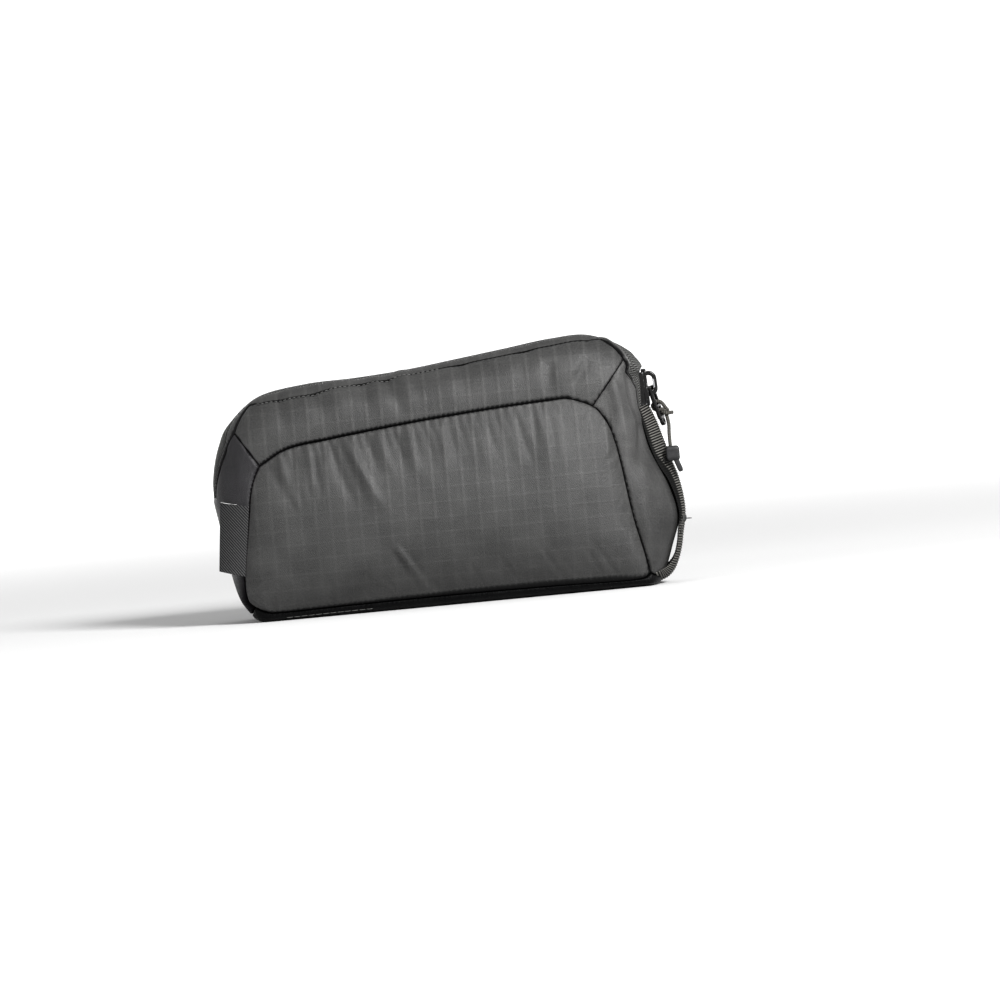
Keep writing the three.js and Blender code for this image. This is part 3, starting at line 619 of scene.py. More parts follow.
def rim_edges(cells):
    """The outer edges of the chosen cells of a grid, as pairs of point numbers."""
    corners = cell_corners(cells.shape[0] + 1, cells.shape[1] + 1)
    framed = np.pad(cells, 1)
    beside = [framed[1:-1, :-2], framed[2:, 1:-1], framed[1:-1, 2:], framed[:-2, 1:-1]]
    edges = [corners[cells & ~next_to][:, [k, (k + 1) % 4]] for k, next_to in enumerate(beside)]
    return np.concatenate(edges)


def edge_distance(grid, cells):
    """How far each point of a grid is from the nearest edge of the chosen cells, and that edge's place."""
    points = grid.reshape(-1, 3)
    edge = points[np.unique(rim_edges(cells))]
    away, place = [], []
    for part in np.array_split(points, 1 + len(points) // 1000):
        apart = np.linalg.norm(part[:, None] - edge[None], axis=2)
        away.append(apart.min(axis=1))
        place.append(edge[apart.argmin(axis=1)])
    return np.concatenate(away).reshape(grid.shape[:2]), np.concatenate(place).reshape(grid.shape)


def inwards(points):
    """Directions from points of the shell to its core, a level bar in the middle plane. Two pieces that
    meet in a seam turn in along them, so that their edges meet at the bottom of the groove."""
    core = np.stack([
        np.clip(points[..., 0], *SHELL_CORE["x"]),
        np.zeros_like(points[..., 1]),
        np.clip(points[..., 2], *SHELL_CORE["z"]),
    ], axis=-1)
    return unit(core - points)


def groove_depth(edge):
    """How deep the groove of a seam is: shallow along the zip strips, which are stitched flat, growing
    to full depth along the side panels and at the zip's two ends, and less deep again along the base, at
    the front bands' slanting ends and where the zip stops."""
    x, half, z = edge[..., 0], np.abs(edge[..., 1]), edge[..., 2]
    off_zip = np.clip((half - GROOVE["zip_half"]) / GROOVE["zip_fade"], 0.0, 1.0)
    past_end = np.abs(x - GROOVE["zip_middle"]) - GROOVE["zip_end"]
    at_end = np.clip(past_end / GROOVE["zip_end_fade"], 0.0, 1.0)
    high_up = np.clip((z - GROOVE["front_height"]) / GROOVE["front_fade"], 0.0, 1.0)
    at_end = np.where(x > 0, at_end * high_up, at_end)
    deep = np.maximum(off_zip, GROOVE["zip_end_depth"] * at_end)
    upper = ZIP_SEAM_DEPTH + (SEAM_DEPTH - ZIP_SEAM_DEPTH) * deep
    slant_x, slant_z = GROOVE["slant_place"]
    across_x, across_z = GROOVE["slant_across"]
    off_slant = np.abs(across_x * (x - slant_x) + across_z * (z - slant_z))
    on_slant = (off_slant < GROOVE["slant_reach"]) & (x > GROOVE["slant_from"])
    upper = np.where(on_slant, GROOVE["slant_depth"] * upper, upper)
    zip_stop = np.where(x < 0, GROOVE["zip_stop_rear"], GROOVE["zip_stop_front"])
    upper = np.where((half < GROOVE["zip_stop_half"]) & (z < zip_stop), ZIP_SEAM_DEPTH, upper)
    lower = np.where(z < GROOVE["base_height"], BASE_SEAM_DEPTH, SEAM_DEPTH)
    return np.where(z < GROOVE["lower_height"], lower, upper)


def rolled(grid, cells, sink):
    """Cloth that turns down into its seams: near an edge it follows a quarter ellipse inwards, down to a
    share of the groove's depth."""
    distance, edge = edge_distance(grid, cells)
    share = np.clip(1 - distance / SEAM_WIDTH, 0.0, 1.0)[..., None]
    depth = sink * groove_depth(edge)[..., None] * (1 - np.sqrt(1 - 0.98 * share**2))
    way = unit(share * inwards(grid) - (1 - share) * grid_normals(grid))
    return grid + depth * way, distance, edge


def cloth_wall(grid, cells, thick):
    """A closed wall: the chosen cells of a grid, the same cells a thickness further in, and a rim."""
    count = grid.shape[0] * grid.shape[1]
    inner = grid - thick * grid_normals(grid)
    points = np.concatenate([grid.reshape(-1, 3), inner.reshape(-1, 3)])
    outer_faces = cell_corners(*grid.shape[:2])[cells]
    edges = rim_edges(cells)
    rim = np.stack([edges[:, 1], edges[:, 0], edges[:, 0] + count, edges[:, 1] + count], axis=1)
    faces = np.concatenate([outer_faces, outer_faces[:, ::-1] + count, rim])
    used, faces = np.unique(faces, return_inverse=True)
    return (points[used], faces.reshape(-1, 4), NO_FANS), used % count


def across_lengths(grid, axis, middle):
    """Distances along one direction of a grid, counted from a column or row in its middle."""
    steps = np.linalg.norm(np.diff(grid, axis=axis), axis=-1)
    first = np.zeros_like(steps.take([0], axis=axis))
    total = np.concatenate([first, np.cumsum(steps, axis=axis)], axis=axis)
    return total - total.take([middle], axis=axis)


def add_cloth(
    name, grid, uv, material,
    cells=None, thick=CLOTH_THICK, dark=1.0, sink=1.0, highlight=0.0,
):
    """A sewn piece of cloth: its edges rolled into the seams, its thickness, and a point value seam for its
    material: a painted shade along the seams, over a width scaled by dark, less a share that paints the
    cloth paler, a painted highlight."""
    if cells is None:
        cells = all_cells(grid)
    turned, distance, edge = rolled(grid, cells, sink)
    solid, kept = cloth_wall(turned, cells, thick)
    # Painted shade: the point value seam is one at the edge and falls to zero a wavering width in; a
    # painted highlight takes it below zero.
    waver = np.sin(2 * np.pi * (edge[..., 0] + edge[..., 2]) / SEAM_SHADE["stitch"])
    dark_width = SEAM_SHADE["width"] * (dark + SEAM_SHADE["waver"] * waver * np.minimum(dark, 1.0))
    seam = (np.clip(1 - distance / dark_width, 0.0, 1.0) - highlight).ravel()[kept]
    cloth_uv = uv.reshape(-1, 2)[kept] / RIPSTOP_CELL
    piece = new_piece(name + "_cloth", solid, material, "bag", [name], cloth_uv, {"seam": seam})
    return piece


# Coated ripstop: fine plain weave in dark grey, with thicker threads in squares that stand up a little and
# catch the light, which is also painted into their colour as a painted highlight. The coat gives it a dull
# gloss. Its colour is painted darker along the seams and near the foot of some pieces, a painted shade.
RIPSTOP_COLOURS = ((0.007, 0.007, 0.0071, 1.0), (0.066, 0.0655, 0.064, 1.0))
# The rear gusset's colours are darker than the ripstop's: a painted shade on the end that faces away from
# the light.
REAR_GUSSET_SHADED_COLOURS = ((0.004, 0.0037, 0.0043, 1.0), (0.030, 0.029, 0.0315, 1.0))
BASE_COLOURS = ((0.0012, 0.0012, 0.0013, 1.0), (0.008, 0.008, 0.0083, 1.0))
WEAVE_THREADS = 9.0


def thread_line(tree, coordinate, width):
    """One at whole numbers of a coordinate, falling smoothly to zero a width away."""
    away = calculate(tree, "PINGPONG", coordinate, 0.5)
    return ramp(tree, away, 0.0, width, 1.0, 0.0)


def ripstop_material(
    name, colours, roughness, shine,
    line_share=1.0, foot=1.0, foot_from=0.008, foot_to=0.028,
):
    """Ripstop cloth on the piece's cloth coordinates, one unit a square. The thick threads are soft, uneven
    and painted lighter, partly their own pattern and partly a painted highlight of the light they catch;
    the level ones are faint and the upright ones painted clearer high up, where the light falls on them,
    and the weave is speckled. Below the height foot_to the cloth is painted darker and less glossy, a
    painted shade, down to a share called foot at the height foot_from. The point value seam paints shade
    along the seams, dark and without gloss, and below zero paints the cloth paler, a painted highlight."""
    material, tree, shader = new_material(name)
    uv = add_node(tree, "UVMap", uv_map="cloth").outputs["UV"]
    axes = add_node(tree, "SeparateXYZ", {"Vector": uv})
    uneven = ramp(tree, fine_noise(tree, uv, 1.3, 3.0), 0.3, 0.7, 0.5, 1.0)
    speckle = ramp(tree, fine_noise(tree, uv, 15.0, 4.0), 0.25, 0.75)
    height = add_node(tree, "SeparateXYZ", {"Vector": object_place(tree)}).outputs["Z"]
    # Painted highlight: the thick threads' lines are painted lighter, the upright ones most high up on the
    # bag, where the light catches them.
    height_highlight = calculate(tree, "MULTIPLY", uneven, ramp(tree, height, 0.01, 0.065, 0.35, 1.0))
    upright = calculate(tree, "MULTIPLY", thread_line(tree, axes.outputs["X"], 0.2), height_highlight)
    level = calculate(tree, "MULTIPLY", thread_line(tree, axes.outputs["Y"], 0.14), uneven)
    lines = calculate(tree, "MULTIPLY_ADD", level, 0.42, upright)
    threads = [
        calculate(tree, "SINE", calculate(tree, "MULTIPLY", axes.outputs[axis], 2 * np.pi * WEAVE_THREADS))
        for axis in ("X", "Y")
    ]
    weave = calculate(tree, "MULTIPLY", *threads)
    mottle = fine_noise(tree, uv, 0.4, 3.0)
    # Painted shade along the seams: the point value seam darkens the colour and takes the gloss away; below
    # zero it paints the cloth paler, a painted highlight.
    seam = add_node(tree, "Attribute", attribute_name="seam").outputs["Fac"]
    light = -0.12
    parts = ((lines, 0.15 * line_share), (speckle, 0.45), (mottle, 0.5), (weave, 0.1), (seam, -1.0))
    for part, share in parts:
        light = calculate(tree, "MULTIPLY_ADD", part, share, light)
    # Painted shade towards the foot: below foot_to the colour and the gloss fall to the share foot.
    foot_shade = ramp(tree, height, foot_from, foot_to, foot, 1.0)
    light = calculate(tree, "MULTIPLY", light, foot_shade)
    colour = mixed(tree, calculate(tree, "MAXIMUM", light, 0.0), *colours)
    tree.links.new(colour, shader.inputs["Base Color"])
    dullness = ramp(tree, speckle, 0.0, 1.0, roughness - 0.1, roughness + 0.1)
    tree.links.new(dullness, shader.inputs["Roughness"])
    gloss = calculate(tree, "MULTIPLY", ramp(tree, seam, 0.0, 0.8, shine, 0.02), foot_shade)
    tree.links.new(gloss, shader.inputs["Specular IOR Level"])
    relief = calculate(tree, "MULTIPLY", lines, 0.5 * line_share)
    relief = calculate(tree, "MULTIPLY_ADD", weave, 0.15, relief)
    relief = calculate(tree, "MULTIPLY_ADD", speckle, 0.3, relief)
    bumped(tree, shader, relief, distance=0.0002, strength=0.9)
    return material


ripstop = ripstop_material("ripstop_cloth", RIPSTOP_COLOURS, roughness=0.46, shine=0.26)
# The rear gusset's cloth: a shaded copy of the gusset cloth, painted darker again towards its foot, a
# painted shade.
gusset_cloth = ripstop_material(
    "gusset_cloth", REAR_GUSSET_SHADED_COLOURS, roughness=0.42, shine=0.22,
    line_share=0.25, foot=0.05,
)
base_cloth = ripstop_material("base_cloth", BASE_COLOURS, roughness=0.4, shine=0.06, line_share=0.0)


# The side panels: one large piece of ripstop on each side, gathered a little along its top seam so that it
# puckers there, with a few long soft creases.
BASE_SEAM = np.array([
    # x, half width, z
    [-80.8, 18.0, 6.6],
    [-76.4, 20.0, 4.1],
    [-70.0, 20.5, 3.2],
    [-44.0, 21.2, 3.6],
    [-4.0, 21.8, 3.9],
    [35.0, 21.2, 3.6],
    [70.5, 20.0, 2.9],
    [77.4, 18.0, 5.0],
])
MIRROR = np.array([1.0, -1.0, 1.0])
PANELS = (
    # name, sign of y, slack along the top seam
    ("side_panel_right", 1.0, 1.0),
    ("side_panel_left", -1.0, 0.8),
)
PANEL_SIZE = (160, 68)
PANEL_BULGE = 6.0
PANEL_CELLS = (230, 112)
CREASES = np.array([
    # from x, from z, to x, to z, half width, height (below zero is a hollow)
    [-65.5, 68.0, -63.0, 46.0, 1.9, 1.6],
    [-70.0, 60.0, -56.0, 38.0, 3.6, -2.2],
    [-60.5, 69.0, -58.0, 58.0, 1.6, -0.6],
    [-54.0, 70.0, -53.0, 57.0, 1.6, 0.9],
    [-48.0, 70.0, -33.0, 40.0, 3.8, -2.4],
    [-39.5, 71.0, -24.5, 37.0, 2.0, 2.0],
    [-32.0, 72.0, -25.0, 52.0, 1.8, -0.9],
    [-27.0, 73.0, -21.0, 54.0, 1.7, 1.1],
    [-20.0, 72.0, -14.0, 48.0, 2.4, -0.9],
    [-13.5, 74.0, -12.0, 53.0, 1.8, 0.9],
    [-6.0, 74.0, -6.0, 55.0, 2.0, -0.6],
    [0.7, 75.0, 0.0, 46.0, 1.8, 0.6],
    [8.0, 75.0, 7.0, 52.0, 2.4, -0.6],
    [17.0, 76.0, 15.0, 48.0, 1.9, 0.6],
    [23.5, 77.0, 21.0, 55.0, 2.0, -0.5],
    [29.5, 77.0, 27.5, 50.0, 1.8, 0.6],
    [38.5, 77.0, 33.0, 48.0, 2.6, -1.4],
    [42.5, 77.0, 38.6, 40.0, 1.6, 0.6],
    [47.5, 78.0, 44.5, 46.0, 1.7, 0.6],
    [59.0, 72.0, 50.0, 62.0, 2.4, -0.9],
    [65.0, 66.0, 63.0, 46.0, 2.2, 0.6],
    [-23.0, 26.0, -12.0, 8.0, 1.5, 1.0],
    [-27.0, 24.0, -16.0, 8.0, 2.8, -0.5],
])
SEAM_PUCKER = {"height": 0.16, "wave": 3.7, "reach": 5.0}
FOLD_HEIGHT = 0.8
# How the panel's painted seam shade widens just above the base seam, more towards the front, and narrows
# along the front seam.
PANEL_FOOT_SHADE = {"reach": 8 * MM, "from": (0.2, 0.7), "most": (1.5, 5.0)}
PANEL_FRONT_SHADE = {"from": (0.9, 0.98), "share": (1.0, 0.45)}
SETTLE_CELLS = (130, 58)
SETTLE_FRAMES = 24
SETTLE_SCALE = 10.0
SETTLE_SLACK = {"least": 0.002, "most": 0.0055, "levels": 9}
SETTLE_REACH = 0.3
SETTLE_CAP = 2.2 * MM
SETTLE_CLOTH = {
    "quality": 6,
    "mass": 0.2,
    "tension_stiffness": 25.0,
    "compression_stiffness": 25.0,
    "shear_stiffness": 10.0,
    "bending_stiffness": 0.35,
    "tension_damping": 15.0,
    "compression_damping": 15.0,
    "air_damping": 4.0,
    "vertex_group_mass": "seams",
    "vertex_group_shrink": "slack",
    "shrink_min": -SETTLE_SLACK["least"],
    "shrink_max": -SETTLE_SLACK["most"],
    "use_pressure": True,
    "uniform_pressure_force": 3.0,
}
SETTLE_GRAVITY = 0.1


def coons_patch(low, high, first, last, u, v):
    """A patch between four edges: the two ruled surfaces added, less the one through the corners."""
    ruled = low[:, None] + (high - low)[:, None] * v[None, :, None]
    crossed = first[None] + (last - first)[None] * u[:, None, None]
    corner_low = low[0] + (low[-1] - low[0]) * u[:, None, None]
    corner_high = high[0] + (high[-1] - high[0]) * u[:, None, None]
    return ruled + crossed - (corner_low + (corner_high - corner_low) * v[None, :, None])


def path_at(path, shares):
    """Points of a path at shares of its length."""
    along = lengths_along(path)
    return read_along(path, along / along[-1], shares)


def right_seam(rows):
    """The seam on the right side as points."""
    return seam_values(rows) * MIRROR


def crease_height(x, z, creases):
    """The sum of some creases: each is a Gaussian across its line, and fades in and out along it."""
    height = np.zeros_like(x)
    for from_x, from_z, to_x, to_z, width, high in creases:
        run = np.array([to_x - from_x, to_z - from_z])
        along = ((x - from_x) * run[0] + (z - from_z) * run[1]) / (run @ run)
        off = ((x - from_x) * run[1] - (z - from_z) * run[0]) / np.linalg.norm(run)
        fade = np.sin(np.pi * np.clip(along, 0.0, 1.0) ** 0.6)
        height += high * fade * np.exp(-((off / width) ** 2))
    return height


def panel_flat(u, v):
    """The right side panel without its swell: a patch between base seam, strip top and strip ends."""
    low = path_at(base_seam_path, u)
    high = right_seam(between(REAR_TOP, FRONT_TOP, u))
    first = right_seam(between(0, REAR_TOP, v))
    last = right_seam(between(LAST_SECTION, FRONT_TOP, v))
    return coons_patch(low, high, first, last, u, v)


def panel_surface(u, v):
    """The right side panel: its patch, swollen between the seams, with its creases."""
    grid = panel_flat(u, v)
    hump_u = np.sqrt(np.clip(4 * u * (1 - u), 0.0, 1.0))[:, None]
    hump_v = np.sin(np.pi * np.clip(v, 0.0, 1.0) ** 0.78)[None, :] ** 0.9
    swell = hump_u * hump_v
    near_seam = np.exp(-(((1 - v) * PANEL_SIZE[1] / SEAM_PUCKER["reach"]) ** 2))[None]
    pucker = SEAM_PUCKER["height"] * near_seam * np.sin(2 * np.pi * grid[..., 0] / SEAM_PUCKER["wave"])
    folds = FOLD_HEIGHT * crease_height(grid[..., 0], grid[..., 2], CREASES) * swell**0.35
    grid[..., 1] -= PANEL_BULGE * swell + folds + pucker
    return grid * MM


def settled_shift(grid, slack):
    """How far the cloth of a grid moves when it settles: it is held along its seams, pushed out softly
    from inside, and a little too long for its place, most where slack is one. Blender's cloth does it
    on a copy ten times as large."""
    rows, columns = grid.shape[:2]
    mesh = bpy.data.meshes.new("settling_cloth")
    large = grid.reshape(-1, 3) * SETTLE_SCALE
    faces = cell_corners(rows, columns).reshape(-1, 4)
    mesh.from_pydata(large.tolist(), [], faces.tolist())
    cloth = bpy.data.objects.new("settling_cloth", mesh)
    scene.collection.objects.link(cloth)
    held = np.ones((rows, columns), bool)
    held[1:-1, 1:-1] = False
    cloth.vertex_groups.new(name="seams").add(np.flatnonzero(held).tolist(), 1.0, "REPLACE")
    loose = cloth.vertex_groups.new(name="slack")
    last_level = SETTLE_SLACK["levels"] - 1
    step = np.round(slack.ravel() * last_level).astype(int)
    for level in range(last_level + 1):
        loose.add(np.flatnonzero(step == level).tolist(), level / last_level, "REPLACE")
    modifier = cloth.modifiers.new("settle", "CLOTH")
    for setting, value in SETTLE_CLOTH.items():
        setattr(modifier.settings, setting, value)
    modifier.settings.effector_weights.gravity = SETTLE_GRAVITY
    modifier.collision_settings.use_collision = False
    modifier.point_cache.frame_start = 1
    modifier.point_cache.frame_end = SETTLE_FRAMES
    for number in range(1, SETTLE_FRAMES + 1):
        scene.frame_set(number)
    result = cloth.evaluated_get(bpy.context.evaluated_depsgraph_get()).data
    points = np.zeros(rows * columns * 3)
    result.vertices.foreach_get("co", points)
    bpy.data.objects.remove(cloth)
    bpy.data.meshes.remove(mesh)
    scene.frame_set(1)
    shift = points.reshape(grid.shape) / SETTLE_SCALE - grid
    length = np.linalg.norm(shift, axis=2, keepdims=True)
    return shift * np.minimum(1.0, SETTLE_CAP / np.maximum(length, 1e-9))


def panel_slack(v, top):
    """Slack across a panel: most near the gathered top seam, and little near the base."""
    return np.clip(top * np.exp(-((1 - v) / SETTLE_REACH) ** 2), 0.0, 1.0)


def settled_panel(mirror, top):
    """A side panel with what it gains by settling, which a bicubic curve carries to the fine grid."""
    fine = panel_surface(panel_u, panel_v) * mirror
    coarse_u = np.linspace(0.0, 1.0, SETTLE_CELLS[0] + 1)
    coarse_v = np.linspace(0.0, 1.0, SETTLE_CELLS[1] + 1)
    coarse = panel_surface(coarse_u, coarse_v) * mirror
    if mirror[1] < 0:
        coarse = coarse[::-1]
    slack = panel_slack(coarse_v, top)[None] * np.ones((len(coarse_u), 1))
    shift = settled_shift(coarse, slack)
    if mirror[1] < 0:
        shift = shift[::-1]
    along = cubic_weights(len(coarse_u), panel_u * SETTLE_CELLS[0])
    up = cubic_weights(len(coarse_v), panel_v * SETTLE_CELLS[1])
    return fine + np.einsum("ia,abk,jb->ijk", along, shift, up)


base_seam_path = smooth_path(BASE_SEAM, count=600) * MIRROR
panel_u = seam_spacing(PANEL_CELLS[0], PANEL_SIZE[0] * MM)
panel_v = seam_spacing(PANEL_CELLS[1], PANEL_SIZE[1] * MM)
panel_uv = panel_flat(panel_u, panel_v)[..., [0, 2]] * MM
# Painted shade: the panel's dark seam band is wider just above the base seam and narrower by the front
# gusset.
panel_foot_shade = np.interp(panel_u, PANEL_FOOT_SHADE["from"], PANEL_FOOT_SHADE["most"])[:, None]
panel_foot_shade = 1 + panel_foot_shade * np.clip(1 - panel_v * PANEL_SIZE[1] * MM / PANEL_FOOT_SHADE["reach"], 0.0, 1.0)
panel_shade = panel_foot_shade * np.interp(panel_u, PANEL_FRONT_SHADE["from"], PANEL_FRONT_SHADE["share"])[:, None]
for panel_name, panel_mirror, panel_loose in PANELS:
    panel_grid = settled_panel(np.array([1.0, panel_mirror, 1.0]), panel_loose)
    add_cloth(panel_name, panel_grid, panel_uv, ripstop, dark=panel_shade)


# The top bands: a sloping band of ripstop above each side panel, cut square across at the rear and
# slanted at the front, sewn to the panel, the gussets and the zip strips.
BAND_CELLS = (220, 30)
BAND_SIZE = (150 * MM, 26 * MM)
# How the painted shade along the bands' seams narrows at their slanted front ends.
BAND_SLANT_SHADE = {"rows": 0.08, "share": 0.4}
BAND_DENTS = np.array([
    # from x, from z, to x, to z, half width, height
    [-66.0, 97.0, -61.0, 72.0, 2.6, -0.6],
    [-52.0, 100.0, -45.0, 74.0, 3.4, -0.9],
    [-42.5, 101.0, -37.0, 74.0, 2.6, 0.5],
    [-33.0, 102.0, -27.0, 76.0, 3.0, -0.9],
    [-25.0, 103.0, -14.0, 75.0, 2.4, -1.1],
    [-18.0, 104.0, -9.0, 77.0, 2.4, 0.7],
    [9.0, 106.0, 11.0, 78.0, 3.6, -0.6],
    [37.0, 109.0, 33.0, 80.0, 3.6, -0.6],
    [61.0, 92.0, 50.0, 79.0, 2.4, -0.9],
    [45.0, 93.0, 43.0, 79.0, 2.8, -1.0],
])

band_rows = between(REAR_TOP, FRONT_DIAGONAL, seam_spacing(BAND_CELLS[0], BAND_SIZE[0]))
band_shares = seam_spacing(BAND_CELLS[1], BAND_SIZE[1])
band_angles = between(np.zeros(len(band_rows)), zip_angle(band_rows), band_shares)
band_right = strip_surface(band_rows, band_angles)
band_dents = crease_height(band_right[..., 0] / MM, band_right[..., 2] / MM, BAND_DENTS) * MM
band_right = band_right + band_dents[..., None] * grid_normals(band_right)
band_uv = band_right[..., [0, 2]]
band_left = band_right * MIRROR
band_slant = (FRONT_DIAGONAL - BAND_SLANT_SHADE["rows"], FRONT_DIAGONAL)
band_shade = np.interp(band_rows, band_slant, (1.0, BAND_SLANT_SHADE["share"]))[:, None]
for band_name, band_grid in (("top_band_right", band_right), ("top_band_left", band_left)):
    add_cloth(band_name, band_grid, band_uv, ripstop, dark=band_shade)


# The gussets: the cloth that goes round each end, sewn to the side panels, the base and the bands, with a
# slot at the top where the zip comes down.
GUSSET_COLUMNS = (24, 20)
GUSSET_ROWS = {"below_slot": 44, "beside_slot": 26}
GUSSET_SIZE = {"below_slot": 50 * MM, "beside_slot": 28 * MM, "side": 18 * MM, "middle": 18 * MM}
# Widths of the painted shade along the gussets' seams, as shares: by the zip, by the side panels, and at
# the front slant.
GUSSET_SHADE = {"by_zip": 0.3, "by_panel": 0.65, "slant": 0.4, "slant_rows": 0.3}
REAR_CREASES = np.array([
    # from x, from z, to x, to z, half width, height
    [-88.0, 70.0, -84.0, 48.0, 3.0, -0.8],
    [-90.0, 30.0, -84.0, 12.0, 3.0, -0.7],
])
FRONT_CREASES = np.array([
    # from x, from z, to x, to z, half width, height
    [69.0, 84.0, 72.5, 58.0, 2.4, 2.1],
    [76.0, 88.0, 77.4, 66.0, 2.0, -2.4],
    [66.0, 62.0, 82.0, 60.0, 8.0, 1.6],
    [75.0, 72.0, 74.0, 48.0, 1.7, 1.1],
    [78.2, 66.0, 76.8, 45.0, 1.6, -1.4],
    [77.0, 50.0, 82.0, 34.0, 2.2, 0.9],
    [80.5, 46.0, 84.5, 30.0, 2.2, -0.8],
    [76.5, 36.0, 78.5, 14.0, 2.0, 0.6],
])
# The front gusset's colours are lighter than the ripstop's: a painted highlight on the end that faces the
# light.
FRONT_GUSSET_LIT_COLOURS = ((0.006, 0.006, 0.0061, 1.0), (0.105, 0.104, 0.102, 1.0))


def gusset(name, edge_row, slot_row, top_row, creases, material):
    """A gusset from the base to its top seam, with the cells of its zip slot left out."""
    low_shares = seam_spacing(GUSSET_ROWS["below_slot"], GUSSET_SIZE["below_slot"])
    high_shares = seam_spacing(GUSSET_ROWS["beside_slot"], GUSSET_SIZE["beside_slot"])
    low = between(edge_row, slot_row, low_shares)
    high = between(slot_row, top_row, high_shares)
    rows = np.concatenate([low, high[1:]])
    side = seam_spacing(GUSSET_COLUMNS[0], GUSSET_SIZE["side"])
    middle = seam_spacing(GUSSET_COLUMNS[1], GUSSET_SIZE["middle"])
    upper = zip_angle(rows)
    angles = np.concatenate([
        between(np.zeros(len(rows)), upper, side),
        between(upper, np.pi - upper, middle[1:]),
        between(np.pi - upper, np.full(len(rows), np.pi), side[1:]),
    ], axis=1)
    grid = strip_surface(rows, angles)
    folds = crease_height(grid[..., 0] / MM, grid[..., 2] / MM, creases) * MM
    grid = grid + (folds * np.abs(np.cos(angles)) ** 0.5)[..., None] * grid_normals(grid)
    cells = all_cells(grid)
    cells[len(low) - 1:, len(side) - 1:len(side) + len(middle) - 2] = False
    crown = grid.shape[1] // 2
    uv = np.stack([across_lengths(grid, 1, crown), across_lengths(grid, 0, 0)], axis=-1)
    # Painted shade along the gusset's seams: narrow by the zip, wider by the side panels, narrower at the
    # front slant.
    by_zip = np.abs(np.cos(angles)) < np.cos(0.5 * upper)[:, None]
    dark = np.where(by_zip, GUSSET_SHADE["by_zip"], GUSSET_SHADE["by_panel"])
    off_slant = np.abs(rows - FRONT_DIAGONAL)
    slant = np.interp(off_slant, (0.0, GUSSET_SHADE["slant_rows"]), (GUSSET_SHADE["slant"], 1.0))
    dark = dark * slant[:, None]
    return add_cloth(name, grid, uv, material, cells=cells, dark=dark)


# The front gusset's cloth: a lit copy of the gusset cloth, a painted highlight, painted darker towards its
# foot, a painted shade.
front_lit_cloth = ripstop_material(
    "front_gusset_cloth", FRONT_GUSSET_LIT_COLOURS, roughness=0.44, shine=0.26,
    line_share=0.6, foot=0.62, foot_from=0.02, foot_to=0.078,
)
gusset("rear_gusset", 0, ZIP_REAR, REAR_TOP, REAR_CREASES, gusset_cloth)
gusset(
    "front_gusset", LAST_SECTION, ZIP_FRONT, FRONT_DIAGONAL,
    FRONT_CREASES, front_lit_cloth,
)


# The base: smooth black coated cloth under the whole bag. Its edge turns up all round and is sewn to the
# side panels and the gussets.
BASE_CELLS = (170, 56)
BASE_SIZE = (158 * MM, 40 * MM)
BASE_TURN = 7.0

base_u = seam_spacing(BASE_CELLS[0], BASE_SIZE[0])
base_v = seam_spacing(BASE_CELLS[1], BASE_SIZE[1])
base_angles = np.arccos(np.clip(1 - 2 * base_v, -1.0, 1.0))[None]
base_right_edge = path_at(base_seam_path, base_u)
base_patch = coons_patch(
    base_right_edge,
    base_right_edge * MIRROR,
    strip_surface(np.array([0.0]), base_angles)[0] / MM,
    strip_surface(np.array([float(LAST_SECTION)]), base_angles)[0] / MM,
    base_u,
    base_v,
)
base_inset, _ = edge_distance(base_patch, all_cells(base_patch))
base_patch[..., 2] *= np.clip(1 - base_inset / BASE_TURN, 0.0, 1.0) ** 2
base_grid = base_patch * MM
add_cloth("base_panel", base_grid, base_grid[..., :2], base_cloth)


# The zip strips: a folded strip of the same cloth along each side of the zip, sewn to the band or the
# gusset beside it, with its free edge over the tape. Above the slider it stands up as a lip, painted paler
# along its top as a painted highlight. Painted shade darkens them along their seams.
STRIP_CELLS = (360, 10)
STRIP_SIZE = (240 * MM, 7 * MM)
STRIP_CROWD = 1.6 * MM
STRIP_SINK = 0.5
STRIP_THICK = 0.8 * MM
# The lip above the slider, and how much paler it is painted: a painted highlight.
STRIP_LIP = {"height": 1.3 * MM, "rows": (16.15, 16.4, 17.3, 17.6), "highlight": 0.9}
STRIP_SHADE = np.array([
    # section, width of the painted shade along the seam as a share of the other seams' width
    [5.0, 1.0],
    [7.7, 1.0],
    [7.95, 1.7],
    [8.75, 1.7],
    [8.9, 0.7],
    [10.5, 0.6],
    [11.5, 0.4],
    [16.2, 0.4],
    [16.4, 1.0],
    [17.3, 1.0],
    [17.6, 0.15],
])
STRIP_EDGE = np.array([
    # section, where the free edge is as a share of the opening's half width
    [5.0, 0.9],
    [7.4, 0.88],
    [8.3, 0.5],
    [15.9, 0.5],
    [16.27, 0.83],
    [17.3, 0.9],
    [19.0, 0.9],
])


def strip_edge(rows):
    """The share of the opening's half width at which the strips' free edges lie."""
    return read_table(STRIP_EDGE, rows)


